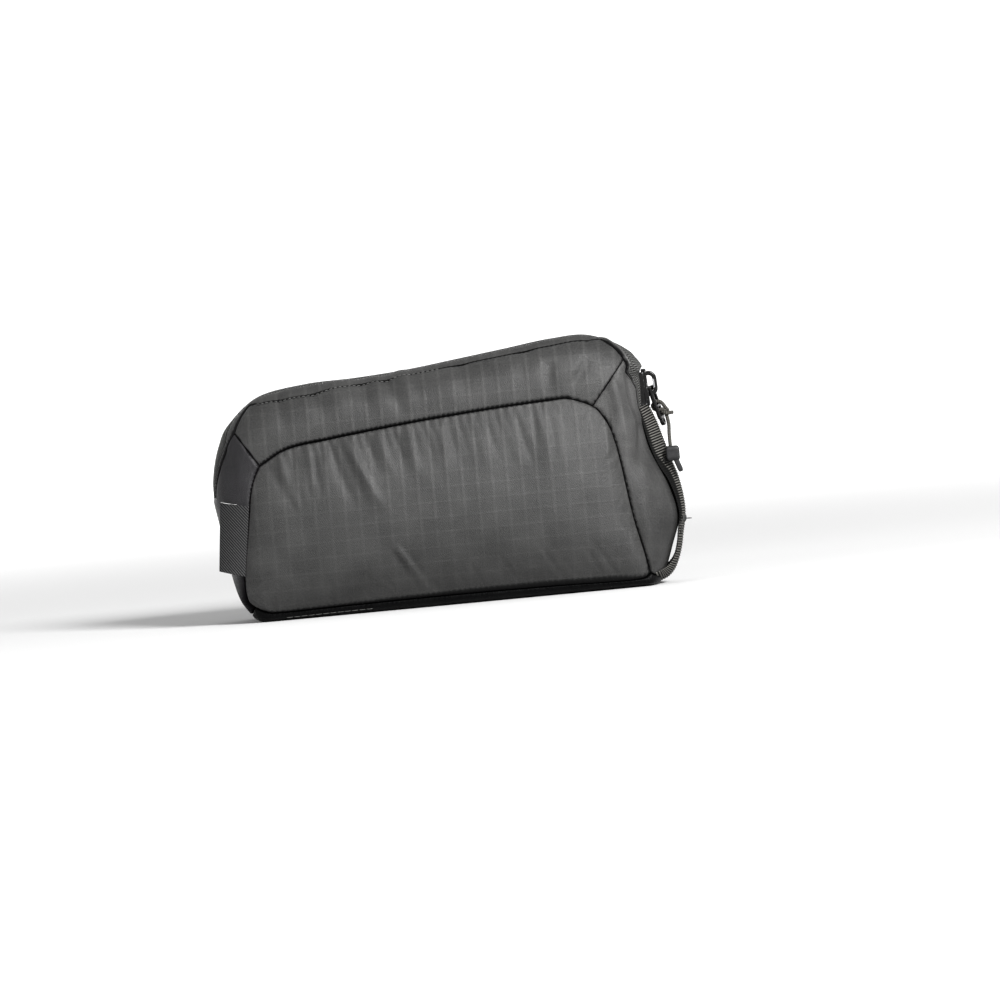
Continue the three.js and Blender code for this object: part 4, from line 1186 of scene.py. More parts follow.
strip_rows = between(ZIP_REAR, ZIP_FRONT, seam_spacing(STRIP_CELLS[0], STRIP_SIZE[0]))
strip_shares = seam_spacing(STRIP_CELLS[1], STRIP_SIZE[1], STRIP_CROWD)
strip_angles = between(zip_angle(strip_rows), zip_angle(strip_rows, strip_edge(strip_rows)), strip_shares)
strip_right = strip_surface(strip_rows, strip_angles)
strip_x, strip_z = strip_right[..., 0] / MM, strip_right[..., 2] / MM
strip_folds = 0.5 * crease_height(strip_x, strip_z, BAND_DENTS)
strip_sideways = np.abs(np.cos(strip_angles)) ** 0.5
strip_folds = strip_folds + crease_height(strip_x, strip_z, FRONT_CREASES) * strip_sideways
strip_lip = np.interp(strip_rows, STRIP_LIP["rows"], (0.0, 1.0, 1.0, 0.0))[:, None]
strip_rise = strip_folds * MM + STRIP_LIP["height"] * strip_lip * np.sin(np.pi * strip_shares)
strip_right = strip_right + strip_rise[..., None] * grid_normals(strip_right)
strip_uv = np.stack([strip_right[..., 0], across_lengths(strip_right, 1, 0)], axis=-1)
# Painted highlight on the lip: the seam value goes below zero there, which paints the cloth paler.
strip_highlight = STRIP_LIP["highlight"] * strip_lip * np.clip((strip_shares - 0.25) / 0.25, 0.0, 1.0)
# Painted shade along the strips' seams, its width read from the table.
strip_shade = read_table(STRIP_SHADE, strip_rows)[:, None]
for strip_name, strip_mirror in (("zip_strip_right", 1.0), ("zip_strip_left", -1.0)):
    strip_grid = strip_right * np.array([1.0, strip_mirror, 1.0])
    add_cloth(
        strip_name, strip_grid, strip_uv, ripstop,
        thick=STRIP_THICK, dark=strip_shade, sink=STRIP_SINK, highlight=strip_highlight,
    )


# The zip tapes: woven tape under each strip, which comes up past the strip's free edge. The two nearly
# meet in the middle, with the coil on their inner side.
TAPE_POINTS = (480, 20)
TAPE_REACH = (-0.008, 1.004)
TAPE_DEPTH = {"under_strip": 1.5 * MM, "bare": 0.35 * MM}
TAPE_THICK = 0.6 * MM
TAPE_OUTER_SHARE = 0.94
TAPE_INNER_HALF = 0.06
TAPE_RISE = 0.3
TAPE_RIB = 1.05 * MM
TAPE_PUSH = np.array([
    # section, how far the slider pushes the tapes out
    [16.9, 0.0],
    [17.3, 0.6],
    [17.55, 1.8],
    [17.66, 2.1],
    [17.76, 1.1],
    [17.9, 0.5],
    [18.6, 0.2],
    [19.0, 0.0],
])
TAPE_COLOURS = ((0.002, 0.002, 0.0021, 1.0), (0.11, 0.11, 0.1065, 1.0))


def herringbone_material(name, colours):
    """Woven tape: slanting ribs that change their slant every few ribs across."""
    material, tree, shader = new_material(name)
    uv = add_node(tree, "UVMap", uv_map="cloth").outputs["UV"]
    axes = add_node(tree, "SeparateXYZ", {"Vector": uv})
    bend = calculate(tree, "PINGPONG", axes.outputs["Y"], 0.13)
    slanted = calculate(tree, "MULTIPLY_ADD", bend, 1.4, axes.outputs["X"])
    turns = calculate(tree, "MULTIPLY", slanted, 2 * np.pi * RIPSTOP_CELL / TAPE_RIB)
    ribs = calculate(tree, "SINE", turns)
    fuzz = fine_noise(tree, uv, 30.0, 3.0)
    share = calculate(tree, "MULTIPLY_ADD", ribs, 0.45, fuzz)
    tree.links.new(mixed(tree, ramp(tree, share, 0.25, 0.95), *colours), shader.inputs["Base Color"])
    shader.inputs["Roughness"].default_value = 0.7
    shader.inputs["Specular IOR Level"].default_value = 0.15
    bumped(tree, shader, share, distance=0.0002, strength=0.8)
    return material


tape_material = herringbone_material("woven_tape", TAPE_COLOURS)
tape_rows = between(ZIP_REAR, ZIP_FRONT, np.linspace(*TAPE_REACH, TAPE_POINTS[0]))
tape_shares = np.linspace(0.0, 1.0, TAPE_POINTS[1])
tape_outer = zip_angle(tape_rows, TAPE_OUTER_SHARE)
tape_inner = angle_at_half(tape_rows, TAPE_INNER_HALF)
tape_surface = strip_surface(tape_rows, between(tape_outer, tape_inner, tape_shares))
tape_bare = 1 - strip_edge(tape_rows) / TAPE_OUTER_SHARE
tape_climb = np.clip((tape_shares[None] - tape_bare[:, None]) / TAPE_RISE, 0.0, 1.0)
tape_climb = tape_climb**2 * (3 - 2 * tape_climb)
tape_depth = TAPE_DEPTH["under_strip"] + (TAPE_DEPTH["bare"] - TAPE_DEPTH["under_strip"]) * tape_climb
tape_push = read_table(TAPE_PUSH, tape_rows) * MM
tape_rise = tape_push[:, None] * tape_climb - tape_depth
tape_right = tape_surface + tape_rise[..., None] * grid_normals(tape_surface)
tape_uv = np.stack([across_lengths(tape_right, 0, 0), across_lengths(tape_right, 1, 0)], axis=-1)
for tape_name, tape_mirror in (("zip_tape_right", 1.0), ("zip_tape_left", -1.0)):
    tape_grid = tape_right * np.array([1.0, tape_mirror, 1.0])
    tape_solid, tape_kept = cloth_wall(tape_grid, all_cells(tape_grid), TAPE_THICK)
    tape_cloth = tape_uv.reshape(-1, 2)[tape_kept] / RIPSTOP_CELL
    tape = new_piece(
        tape_name + "_cloth",
        tape_solid,
        tape_material,
        replaces=[tape_name],
        uv=tape_cloth,
    )


# The zip coil: two rows of nylon teeth that mesh in the middle, closed from the rear of the bag to the
# slider. Each tooth is a short bent bar across the tapes, woven into a tape's edge.
TOOTH_PITCH = 1.25 * MM
TOOTH_RADIUS = 0.42 * MM
TOOTH_OUTER = 2.5 * MM
TOOTH_INNER = -0.7 * MM
TOOTH_SLANT = 0.35 * MM
TOOTH_DEPTH = 1.75 * MM
TOOTH_HUMP = 0.45 * MM
TOOTH_RINGS = 6
TOOTH_SIDES = 6
SLIDER_ROW = 18.32
COIL_COLOURS = ((0.010, 0.010, 0.0102, 1.0), (0.040, 0.040, 0.041, 1.0))


def crown_frame(rows):
    """The zip's line on the middle plane, with its directions outwards and back up along the zip."""
    place = section_values(rows, [3, 4]) * MM
    step = 0.01
    ahead = unit(section_values(rows + step, [3, 4]) - section_values(rows - step, [3, 4]))
    flat = np.zeros(len(rows))
    origin = np.stack([place[:, 0], flat, place[:, 1]], axis=1)
    out = np.stack([-ahead[:, 1], flat, ahead[:, 0]], axis=1)
    back = np.stack([-ahead[:, 0], flat, -ahead[:, 1]], axis=1)
    return origin, out, back


def placed(solid, origins, axes):
    """Copies of a small solid: a point goes to its copy's origin plus its coordinates along three axes."""
    points, quads, fans = solid
    copies = origins[:, None] + np.einsum("pk,nkc->npc", points, axes)
    number = np.arange(len(origins))[:, None, None] * len(points)
    return copies.reshape(-1, 3), (quads + number).reshape(-1, 4), (fans + number).reshape(-1, 3)


def capsule(path, radius, sides, taper=0.6):
    """A short rounded bar along a path, narrower at its two end rings."""
    turn = np.linspace(0.0, 2 * np.pi, sides, endpoint=False)
    girth = np.ones(len(path))
    girth[[0, -1]] = taper
    ring = radius * girth[:, None, None] * np.stack([np.cos(turn), np.sin(turn)], axis=1)
    return ringed(swept(path, *carried_frame(path), ring))


def plastic_material(name, colours, roughness):
    """Satin plastic with a faint mottle."""
    material, tree, shader = new_material(name)
    mottle = fine_noise(tree, object_place(tree), 900.0, 3.0)
    tree.links.new(mixed(tree, mottle, *colours), shader.inputs["Base Color"])
    dullness = ramp(tree, mottle, 0.2, 0.8, roughness - 0.06, roughness + 0.08)
    tree.links.new(dullness, shader.inputs["Roughness"])
    bumped(tree, shader, mottle, distance=0.00004, strength=0.5)
    return material


coil_dense = np.linspace(ZIP_REAR + 0.03, SLIDER_ROW + 0.1, 2000)
coil_along = lengths_along(crown_frame(coil_dense)[0])
tooth_count = int(coil_along[-1] / TOOTH_PITCH)
tooth_along = (np.arange(2 * tooth_count) + 0.5) * 0.5 * TOOTH_PITCH
tooth_rows = np.interp(tooth_along, coil_along, coil_dense)
tooth_share = np.linspace(0.0, 1.0, TOOTH_RINGS)
tooth_path = np.stack([
    TOOTH_SLANT * (tooth_share - 0.5),
    TOOTH_OUTER + (TOOTH_INNER - TOOTH_OUTER) * tooth_share,
    TOOTH_HUMP * np.sin(np.pi * tooth_share**0.8) - TOOTH_DEPTH,
], axis=1)
tooth = capsule(tooth_path, TOOTH_RADIUS, TOOTH_SIDES)
tooth_origin, tooth_out, tooth_back = crown_frame(tooth_rows)
tooth_sign = np.where(np.arange(len(tooth_rows)) % 2 == 0, -1.0, 1.0)
tooth_side = tooth_sign[:, None] * np.array([[0.0, 1.0, 0.0]])
tooth_axes = np.stack([tooth_back, tooth_side, tooth_out], axis=1)
new_piece(
    "zip_coil_teeth",
    placed(tooth, tooth_origin, tooth_axes),
    plastic_material("coil_nylon", COIL_COLOURS, roughness=0.4),
    replaces=["zip_coil"],
)


# The slider: a die casting of two plates on a neck, with flanges that guide the teeth and a bridge that
# holds the puller. Its dark plating is painted bright along its sharp edges, a painted highlight.
PLATE = {"low": 0.5, "high": 2.5, "up": 6.5, "down": 8.4, "tail": 3.2, "nose": 4.4, "bevel": 0.5}
BACK_PLATE = {"low": -4.6, "high": -3.5, "up": 6.0, "down": 6.0, "tail": 3.0, "nose": 4.0, "bevel": 0.4}
NECK_MIDDLE = (-1.5, 0.0, -3.2)
NECK_HALF = (2.3, 1.9, 1.3)
FLANGE = {"from": -7.9, "to": 5.2, "half": 3.9, "low": -1.9, "high": 1.2, "thick": 0.8, "closing": 0.8}
BRIDGE = {"foot": 1.2, "reach": 6.4, "up": 5.4, "down": 4.8, "bar": 1.8, "half": 1.4, "corner": 2.3}
BAR_SQUARE = 4.0
# The plating's dark colour, and the colour of the painted highlight along its edges.
METAL_AND_HIGHLIGHT_COLOURS = ((0.0015, 0.0015, 0.0016, 1.0), (0.3, 0.3, 0.31, 1.0))


def cut_corners(outline, rounds):
    """A closed outline with its corners cut: each edge keeps its middle half, a few times over."""
    for _ in range(rounds):
        after = np.roll(outline, -1, axis=0)
        kept = [0.75 * outline + 0.25 * after, 0.25 * outline + 0.75 * after]
        outline = np.stack(kept, axis=1).reshape(-1, 2)
    return outline


def bevelled_plate(outline, low, high, bevel, steps=5):
    """A plate of a closed outline from low to high along its first axis, with rounded rims: near a face
    the outline shrinks by a quarter circle towards its middle."""
    turn = np.linspace(0.0, 0.5 * np.pi, steps)
    inset = bevel * np.concatenate([1 - np.sin(turn), (1 - np.sin(turn))[::-1]])
    height = np.concatenate([low + bevel * (1 - np.cos(turn)), high - bevel * (1 - np.cos(turn))[::-1]])
    middle = outline.mean(axis=0)
    away = outline - middle
    reach = np.linalg.norm(away, axis=1, keepdims=True)
    flat = middle + away * (1 - inset[:, None, None] / reach)
    level = height[:, None, None] * np.ones_like(reach)
    return ringed(np.concatenate([level, flat], axis=2))


def slider_plate(plate):
    """A plate that is narrow where the closed teeth leave it and wide at its nose."""
    right = np.array([
        [0.0, plate["up"]],
        [plate["tail"], plate["up"]],
        [plate["tail"], 0.4 * plate["up"]],
        [plate["nose"], -0.4 * plate["down"]],
        [plate["nose"], -plate["down"]],
        [0.0, -plate["down"]],
    ])
    left = right[-2:0:-1] * np.array([-1.0, 1.0])
    outline = cut_corners(np.concatenate([right, left]), rounds=3)
    return bevelled_plate(outline, plate["low"], plate["high"], plate["bevel"])


def scaled(solid, scale):
    """A solid with its points' coordinates multiplied."""
    return (solid[0] * scale,) + solid[1:]


def rounded_profile(half_side, half_out, square, sides):
    """A superellipse section, half_side by half_out."""
    turn = np.linspace(0.0, 2 * np.pi, sides, endpoint=False)
    curve = np.stack([np.cos(turn), np.sin(turn)], axis=1)
    return np.sign(curve) * np.abs(curve) ** (2 / square) * np.array([half_side, half_out])


def slider_bridge():
    """An arch over the outer plate, a rounded bar along an open path with two rounded corners."""
    high = BRIDGE["reach"] - 0.5 * BRIDGE["bar"]
    up = BRIDGE["up"] - 0.5 * BRIDGE["bar"]
    down = BRIDGE["down"] - 0.5 * BRIDGE["bar"]
    turn = np.linspace(0.0, 0.5 * np.pi, 9)[:, None]
    corner = BRIDGE["corner"]
    bend = [high - corner + corner * np.sin(turn), up - corner + corner * np.cos(turn)]
    upper = np.concatenate(bend, axis=1)
    lower = upper[::-1] * np.array([1.0, -1.0]) + np.array([0.0, up - down])
    ends = np.array([[BRIDGE["foot"], up]]), np.array([[BRIDGE["foot"], -down]])
    flat = spaced(np.concatenate([ends[0], upper, lower, ends[1]]), 60)
    path = np.stack([flat[:, 0], np.zeros(len(flat)), flat[:, 1]], axis=1)
    ahead = unit(np.gradient(path, axis=0))
    side = np.tile([0.0, 1.0, 0.0], (len(path), 1))
    profile = rounded_profile(BRIDGE["half"], 0.5 * BRIDGE["bar"], BAR_SQUARE, 24)
    return ringed(swept(path, side, np.cross(side, ahead), profile))


def slider_flange(side, rings=24):
    """A wall under one edge of the outer plate, closing towards the tail with the plate."""
    share = np.linspace(0.0, 1.0, rings)
    path = np.stack([
        np.full(rings, 0.5 * (FLANGE["low"] + FLANGE["high"])),
        side * (FLANGE["half"] - FLANGE["closing"] * share**2),
        FLANGE["from"] + (FLANGE["to"] - FLANGE["from"]) * share,
    ], axis=1)
    across = np.tile([0.0, 1.0, 0.0], (rings, 1))
    out = np.tile([1.0, 0.0, 0.0], (rings, 1))
    half_high = 0.5 * (FLANGE["high"] - FLANGE["low"])
    profile = rounded_profile(0.5 * FLANGE["thick"], half_high, BAR_SQUARE, 20)
    return ringed(swept(path, across, out, profile))


def metal_material(name, colours, roughness):
    """Dark plated metal, painted brighter along its sharp edges as a painted highlight, with a fine scuff
    noise in its roughness and relief.
    """
    material, tree, shader = new_material(name)
    place = object_place(tree)
    edge = add_node(tree, "NewGeometry").outputs["Pointiness"]
    scuff = fine_noise(tree, place, 1500.0, 4.0)
    # Painted highlight: sharp edges, broken up by the scuff noise, get the bright colour.
    edge_highlight = calculate(tree, "MULTIPLY_ADD", scuff, 0.08, edge)
    edge_highlight = ramp(tree, edge_highlight, 0.57, 0.65)
    tree.links.new(mixed(tree, edge_highlight, *colours), shader.inputs["Base Color"])
    dullness = ramp(tree, scuff, 0.2, 0.8, roughness - 0.06, roughness + 0.1)
    tree.links.new(dullness, shader.inputs["Roughness"])
    shader.inputs["Specular IOR Level"].default_value = 0.3
    bumped(tree, shader, scuff, distance=0.00003, strength=0.5)
    return material


dark_metal = metal_material("dark_plated_metal", METAL_AND_HIGHLIGHT_COLOURS, roughness=0.12)
slider_origin, slider_out, slider_back = crown_frame(np.array([SLIDER_ROW]))
slider_axes = np.stack([slider_out, np.array([[0.0, 1.0, 0.0]]), slider_back], axis=1)
neck_block = rounded_block(np.array(NECK_HALF), square=5.0, rings=24, sides=32)
slider_neck = ringed(neck_block + np.array(NECK_MIDDLE))
slider_solid = joined([
    slider_plate(PLATE),
    slider_plate(BACK_PLATE),
    slider_neck,
    slider_bridge(),
    slider_flange(1.0),
    slider_flange(-1.0),
])
new_piece(
    "zip_slider_body",
    placed(scaled(slider_solid, MM), slider_origin, slider_axes),
    dark_metal,
    replaces=["zip_slider"],
)


# The puller: a flat metal tab of two rails, with a long slot that straddles the bridge, a short slot that
# the cord runs through and a round eye at its end.
HINGE = np.array([84.3, 0.0, 78.6]) * MM
TAB_LEAN = math.radians(14.45)
TAB_TURN = math.radians(-16.0)
TAB_THICK = 1.6
TAB_LOOPS = (
    # from, to, half width at the middle of the bar, bar width
    (0.0, 8.1, 2.45, 1.0),
    (8.1, 12.95, 2.3, 1.15),
)
TAB_EYE = {"at": 14.45, "hole": 0.8, "bar": 1.15}


def hooped(points):
    """A closed ring solid: rings of points that follow each other all the way round."""
    rings, sides = points.shape[:2]
    number = np.arange(rings * sides).reshape(rings, sides)
    after = np.roll(number, -1, axis=0)
    quads = np.stack([number, np.roll(number, -1, axis=1), np.roll(after, -1, axis=1), after], axis=-1)
    return points.reshape(-1, 3), quads.reshape(-1, 4), NO_FANS


def flat_hoop(outline, bar, thick):
    """A flat bar in the tab's plane: a superellipse carried round a closed outline."""
    ahead = unit(np.roll(outline, -1, axis=0) - np.roll(outline, 1, axis=0))
    across = np.stack([np.zeros(len(outline)), ahead[:, 1], -ahead[:, 0]], axis=1)
    path = np.concatenate([np.zeros((len(outline), 1)), outline], axis=1)
    out = np.tile([1.0, 0.0, 0.0], (len(outline), 1))
    return hooped(swept(path, across, out, rounded_profile(0.5 * bar, 0.5 * thick, BAR_SQUARE, 20)))


tab_hoops = []
tab_steps = np.linspace(0, 0.9, 10)[:, None]
for tab_from, tab_to, tab_half, tab_bar in TAB_LOOPS:
    tab_corners = np.array([
        [-tab_half, -tab_from],
        [tab_half, -tab_from],
        [tab_half, -tab_to],
        [-tab_half, -tab_to],
    ])
    tab_runs = np.roll(tab_corners, -1, axis=0) - tab_corners
    tab_even = (tab_corners[:, None] + tab_runs[:, None] * tab_steps).reshape(-1, 2)
    tab_hoops.append(flat_hoop(cut_corners(tab_even, rounds=2), tab_bar, TAB_THICK))
eye_turn = np.linspace(0.0, 2 * np.pi, 48, endpoint=False)
eye_radius = TAB_EYE["hole"] + 0.5 * TAB_EYE["bar"]
eye_round = eye_radius * np.stack([np.cos(eye_turn), np.sin(eye_turn)], axis=1)
eye_outline = eye_round - np.array([0.0, TAB_EYE["at"]])
tab_hoops.append(flat_hoop(eye_outline, TAB_EYE["bar"], TAB_THICK))
tab_solid = scaled(joined(tab_hoops), MM)
tab_thin = np.array([math.cos(TAB_LEAN), 0.0, math.sin(TAB_LEAN)])
tab_wide = np.array([0.0, 1.0, 0.0])
tab_axes = np.array([[
    math.cos(TAB_TURN) * tab_thin + math.sin(TAB_TURN) * tab_wide,
    math.cos(TAB_TURN) * tab_wide - math.sin(TAB_TURN) * tab_thin,
    [-math.sin(TAB_LEAN), 0.0, math.cos(TAB_LEAN)],
]])
new_piece(
    "puller_tab",
    placed(tab_solid, HINGE[None], tab_axes),
    dark_metal,
    body="puller",
    replaces=["zip_puller"],
)


# Its bent-back edges are painted dark, a painted shade.
# The front strap: ribbed webbing sewn in below the slider and again near the base. It hangs off the front
# of the bag between dense bar tacks, with its edges bent back.
STRAP_ROWS = np.array([
    # x, z, how far the edges bend back, half width
    [82.9, 72.2, 4.4, 8.5],
    [85.8, 64.8, 5.3, 8.4],
    [88.1, 56.6, 5.7, 8.4],
    [90.1, 49.5, 5.2, 8.4],
    [92.3, 42.5, 3.9, 8.2],
    [93.6, 35.0, 2.9, 8.0],
    [93.9, 28.5, 2.2, 7.8],
    [93.2, 23.5, 1.7, 7.6],
    [92.2, 19.0, 1.4, 7.5],
    [91.3, 14.5, 1.3, 7.5],
    [89.7, 9.5, 1.5, 8.0],
    [87.4, 4.9, 2.9, 10.5],
    [84.4, 2.1, 3.8, 14.0],
    [80.8, 0.7, 3.8, 17.5],
]) * MM
STRAP_SHADE_EDGE = np.array([
    # height, share of the half width where the painted shade of the bent-back edges starts
    [0.022, 1.0],
    [0.028, 0.8],
    [0.046, 0.74],
    [0.053, 0.9],
])
STRAP_SHADE_REACH = 0.1
STRAP_THICK = 1.5 * MM
STRAP_RIB_PITCH = 1.05 * MM
STRAP_RIB = 0.3 * MM
STRAP_SQUARE = 3.0
STRAP_RINGS = 760
STRAP_SIDES = 64
STRAP_COLOURS = ((0.002, 0.002, 0.0019, 1.0), (0.115, 0.112, 0.104, 1.0))

strap_route = smooth_path(STRAP_ROWS, STRAP_RINGS)
strap_middle = np.stack([strap_route[:, 0], np.zeros(STRAP_RINGS), strap_route[:, 1]], axis=1)
strap_ahead = unit(np.gradient(strap_middle, axis=0))
strap_out = np.stack([-strap_ahead[:, 2], np.zeros(STRAP_RINGS), strap_ahead[:, 0]], axis=1)
strap_length = lengths_along(strap_middle)
strap_rib = 0.5 + 0.5 * np.cos(2 * np.pi * strap_length / STRAP_RIB_PITCH)
strap_section = rounded_profile(1.0, 1.0, STRAP_SQUARE, STRAP_SIDES)
strap_across = strap_section[:, 0] * np.ones((STRAP_RINGS, 1))
strap_face = strap_section[:, 1] * np.ones((STRAP_RINGS, 1))
strap_depth = 0.5 * STRAP_THICK * (strap_face - 1) - strap_route[:, 2:3] * strap_across**2
strap_depth = strap_depth - STRAP_RIB * (1 - strap_rib[:, None]) * strap_face
strap_width = (strap_route[:, 3:] - 0.3 * STRAP_RIB * (1 - strap_rib[:, None])) * strap_across
strap_points = strap_middle[:, None] + strap_depth[..., None] * strap_out[:, None]
strap_points[..., 1] += strap_width
# Painted shade on the bent-back edges: the ribs' raised value falls below zero towards them.
strap_shade_edge = read_table(STRAP_SHADE_EDGE, strap_middle[:, 2])[:, None]
strap_unshaded = np.clip(1 + (strap_shade_edge - np.abs(strap_across)) / STRAP_SHADE_REACH, 0.0, 1.0)
strap_raised_and_shade = np.concatenate([(1.3 * strap_rib[:, None] * strap_unshaded - 0.3).ravel(), [0.0, 0.0]])
strap_piece = new_piece(
    "webbing_strap",
    ringed(strap_points),
    yarn_material("ribbed_webbing", STRAP_COLOURS, roughness=0.75, scale=2600.0),
    replaces=["front_strap"],
    values={"raised": strap_raised_and_shade},
)


# The side label: a folded flap of twill tape held by one edge in the rear seam, with slanting ribs and
# a light thread along its top. It is bare.
LABEL_CORNERS = {
    "seam_low": (-83.2, -20.9, 18.9),
    "seam_high": (-79.2, -21.2, 46.6),
    "free_low": (-93.6, -18.0, 21.9),
    "free_high": (-90.8, -15.2, 49.2),
}
LABEL_SIZE = {"high": 28.0 * MM, "wide": 10.0 * MM}
LABEL_THICK = 0.8 * MM
LABEL_BOW = 1.3 * MM
LABEL_RIB = 1.2 * MM
LABEL_RIB_HEIGHT = 0.1 * MM
LABEL_RINGS = 180
LABEL_SIDES = 96
LABEL_COLOURS = ((0.002, 0.002, 0.0022, 1.0), (0.06, 0.06, 0.061, 1.0))

label_corner = {corner: np.array(place) * MM for corner, place in LABEL_CORNERS.items()}
label_up = np.linspace(0.0, 1.0, LABEL_RINGS)[:, None, None]
label_round = np.linspace(0.0, 2.0, LABEL_SIDES, endpoint=False)
label_out = (1 - np.abs(1 - label_round))[None, :, None]
label_face = np.where(label_round < 1, 0.5, -0.5) * np.sqrt(1 - np.abs(2 * label_out[..., 0] - 1) ** 12)
label_seam = label_corner["seam_low"] + (label_corner["seam_high"] - label_corner["seam_low"]) * label_up
label_free = label_corner["free_low"] + (label_corner["free_high"] - label_corner["free_low"]) * label_up
label_points = label_seam + (label_free - label_seam) * label_out
label_high = LABEL_SIZE["high"] * label_up[..., 0]
label_wide = LABEL_SIZE["wide"] * label_out[..., 0]
label_rib = 0.5 + 0.5 * np.cos(2 * np.pi * (label_high - label_wide) / LABEL_RIB)
label_bend = LABEL_BOW * np.sin(np.pi * np.clip(label_out[..., 0], 0.0, 1.0))
label_wall = (LABEL_THICK + LABEL_RIB_HEIGHT * label_rib) * label_face
label_points[..., 1] -= label_bend - 0.5 * LABEL_THICK - label_wall
label_piece = new_piece(
    "twill_label",
    ringed(label_points),
    yarn_material("label_twill", LABEL_COLOURS, roughness=0.7, scale=3000.0),
    replaces=["side_label"],
    values={"raised": np.concatenate([label_rib.ravel(), [0.5, 0.5]])},
)


# The stitches: a light thread along the zip strips' seams, along the base seam and on the label's top edge,
# and dense bar tacks with loose ends that hold the strap.
STRIP_STITCH = {"long": 1.3 * MM, "pitch": 1.9 * MM, "radius": 0.14 * MM}
BASE_STITCH = {"long": 2.7 * MM, "pitch": 2.9 * MM, "radius": 0.11 * MM}
STITCHED_ROWS = (8.85, 12.8)
STITCHED_BASE = (-70 * MM, -30 * MM)
STITCH_COLUMN = 4
STITCH_RINGS = 6
STITCH_SIDES = 6
STITCH_RISE = 0.14 * MM
THREAD_COLOURS = ((0.02, 0.02, 0.0195, 1.0), (0.13, 0.13, 0.125, 1.0))
PALE_THREAD_COLOURS = ((0.2, 0.2, 0.2, 1.0), (0.6, 0.6, 0.59, 1.0))
DARK_THREAD_COLOURS = ((0.004, 0.004, 0.004, 1.0), (0.03, 0.03, 0.029, 1.0))
TACK_PLACES = (49.8 * MM, 25.0 * MM)
TACK_HALF = 6.6 * MM
TACK_COUNT = 30
TACK_LONG = 2.4 * MM
TACK_RADIUS = 0.26 * MM
TACK_SLANT = 0.18
LABEL_THREAD = {"from": 0.3, "share": 0.55, "radius": 0.13 * MM, "off": 1.1 * MM}
LOOSE_LONG = 3.2 * MM
LOOSE_RADIUS = 0.22 * MM
LOOSE_ENDS = np.array([
    # from the tack's middle along x, y and z, then its direction along x, y and z
    [0.7, -4.0, 0.0, 1.0, -0.1, -0.04],
    [-1.9, -7.2, -1.0, -0.5, -0.1, -0.85],
    [-2.2, -7.4, -4.0, -0.25, -0.1, -0.95],
])


def stitch_solid(length, radius):
    """One stitch: a short bar whose ends go down into the cloth."""
    share = np.linspace(0.0, 1.0, STITCH_RINGS)
    rise = STITCH_RISE * (np.sin(np.pi * share) ** 0.5 - 0.45)
    path = np.stack([length * (share - 0.5), np.zeros(STITCH_RINGS), rise], axis=1)
    return capsule(path, radius, STITCH_SIDES, taper=0.7)


def thread_material(name, colours):
    """Twisted sewing thread."""
    material, tree, shader = new_material(name)
    fuzz = fine_noise(tree, object_place(tree), 3500.0, 3.0)
    tree.links.new(mixed(tree, fuzz, *colours), shader.inputs["Base Color"])
    shader.inputs["Roughness"].default_value = 0.6
    bumped(tree, shader, fuzz, distance=0.00006, strength=0.6)
    return material


def stitch_row(name, path, out, material, stitch):
    """Stitches at an even pitch along a path on the cloth, square to its outward directions."""
    along = lengths_along(path)
    at = np.arange(stitch["pitch"], along[-1] - stitch["pitch"], stitch["pitch"])
    origins = read_along(path, along, at)
    ahead = unit(read_along(np.gradient(path, axis=0), along, at))
    up = unit(read_along(out, along, at))
    axes = np.stack([ahead, np.cross(up, ahead), up], axis=1)
    solid = placed(stitch_solid(stitch["long"], stitch["radius"]), origins, axes)
    return new_piece(name, solid, material)


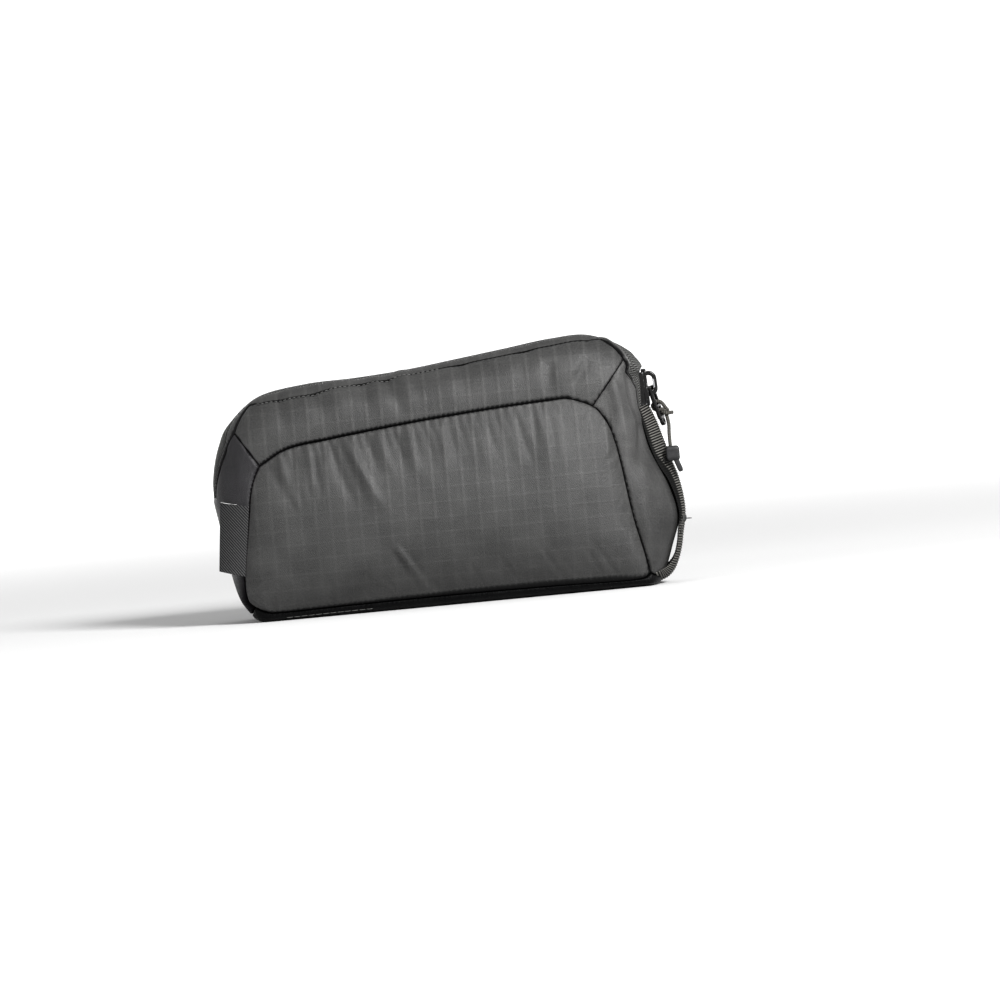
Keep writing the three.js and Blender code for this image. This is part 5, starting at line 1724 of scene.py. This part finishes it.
light_thread = thread_material("light_thread", THREAD_COLOURS)
dark_thread = thread_material("dark_thread", DARK_THREAD_COLOURS)
base_x = base_grid[:, 0, 0]
base_kept = (base_x > STITCHED_BASE[0]) & (base_x < STITCHED_BASE[1])
band_kept = (band_rows > STITCHED_ROWS[0]) & (band_rows < STITCHED_ROWS[1])
stitched_sides = (("right", band_right, STITCH_COLUMN), ("left", band_left, -1 - STITCH_COLUMN))
for side_name, band, base_column in stitched_sides:
    band_path = band[band_kept, -STITCH_COLUMN]
    band_out = grid_normals(band)[band_kept, -STITCH_COLUMN]
    stitch_row("strip_stitches_" + side_name, band_path, band_out, light_thread, STRIP_STITCH)
    base_path = base_grid[base_kept, base_column]
    base_out = grid_normals(base_grid)[base_kept, base_column]
    stitch_row("base_stitches_" + side_name, base_path, base_out, light_thread, BASE_STITCH)

label_top = label_corner["seam_high"] - label_corner["free_high"]
label_off = np.array([0.0, -1.0, 0.0])
label_thread_axes = np.stack([unit(label_top), label_off, unit(np.cross(label_top, label_off))])
label_thread_place = label_corner["free_high"] + LABEL_THREAD["from"] * label_top
label_thread_place = label_thread_place + LABEL_THREAD["off"] * label_off
label_thread_long = LABEL_THREAD["share"] * np.linalg.norm(label_top)
label_thread = stitch_solid(label_thread_long, LABEL_THREAD["radius"])
label_thread = placed(label_thread, label_thread_place[None], label_thread_axes[None])
new_piece("label_thread", label_thread, thread_material("pale_thread", PALE_THREAD_COLOURS))

tack_solids = []
for tack_height in TACK_PLACES:
    tack_ring = int(np.argmin(np.abs(strap_middle[:, 2] - tack_height)))
    tack_across = np.linspace(-1.0, 1.0, TACK_COUNT)
    tack_bend = strap_route[tack_ring, 2] * (tack_across * TACK_HALF / strap_route[tack_ring, 3]) ** 2
    tack_origins = strap_middle[tack_ring] - tack_bend[:, None] * strap_out[tack_ring]
    tack_origins[:, 1] += TACK_HALF * tack_across
    tack_slant = np.where(np.arange(TACK_COUNT) % 2 == 0, TACK_SLANT, -TACK_SLANT)[:, None]
    tack_run = unit(strap_ahead[tack_ring] + tack_slant * np.array([0.0, 1.0, 0.0]))
    tack_out = np.tile(strap_out[tack_ring], (TACK_COUNT, 1))
    tack_axes = np.stack([tack_run, np.cross(tack_out, tack_run), tack_out], axis=1)
    tack_solids.append(placed(stitch_solid(TACK_LONG, TACK_RADIUS), tack_origins, tack_axes))
loose_along = unit(LOOSE_ENDS[:, 3:])
loose_side = unit(np.cross(loose_along, (0.0, 1.0, 0.0)))
loose_axes = np.stack([loose_along, loose_side, np.cross(loose_along, loose_side)], axis=1)
loose_origins = strap_middle[tack_ring] + LOOSE_ENDS[:, :3] * MM
tack_solids.append(placed(stitch_solid(LOOSE_LONG, LOOSE_RADIUS), loose_origins, loose_axes))
new_piece("strap_tacks", joined(tack_solids), dark_thread)
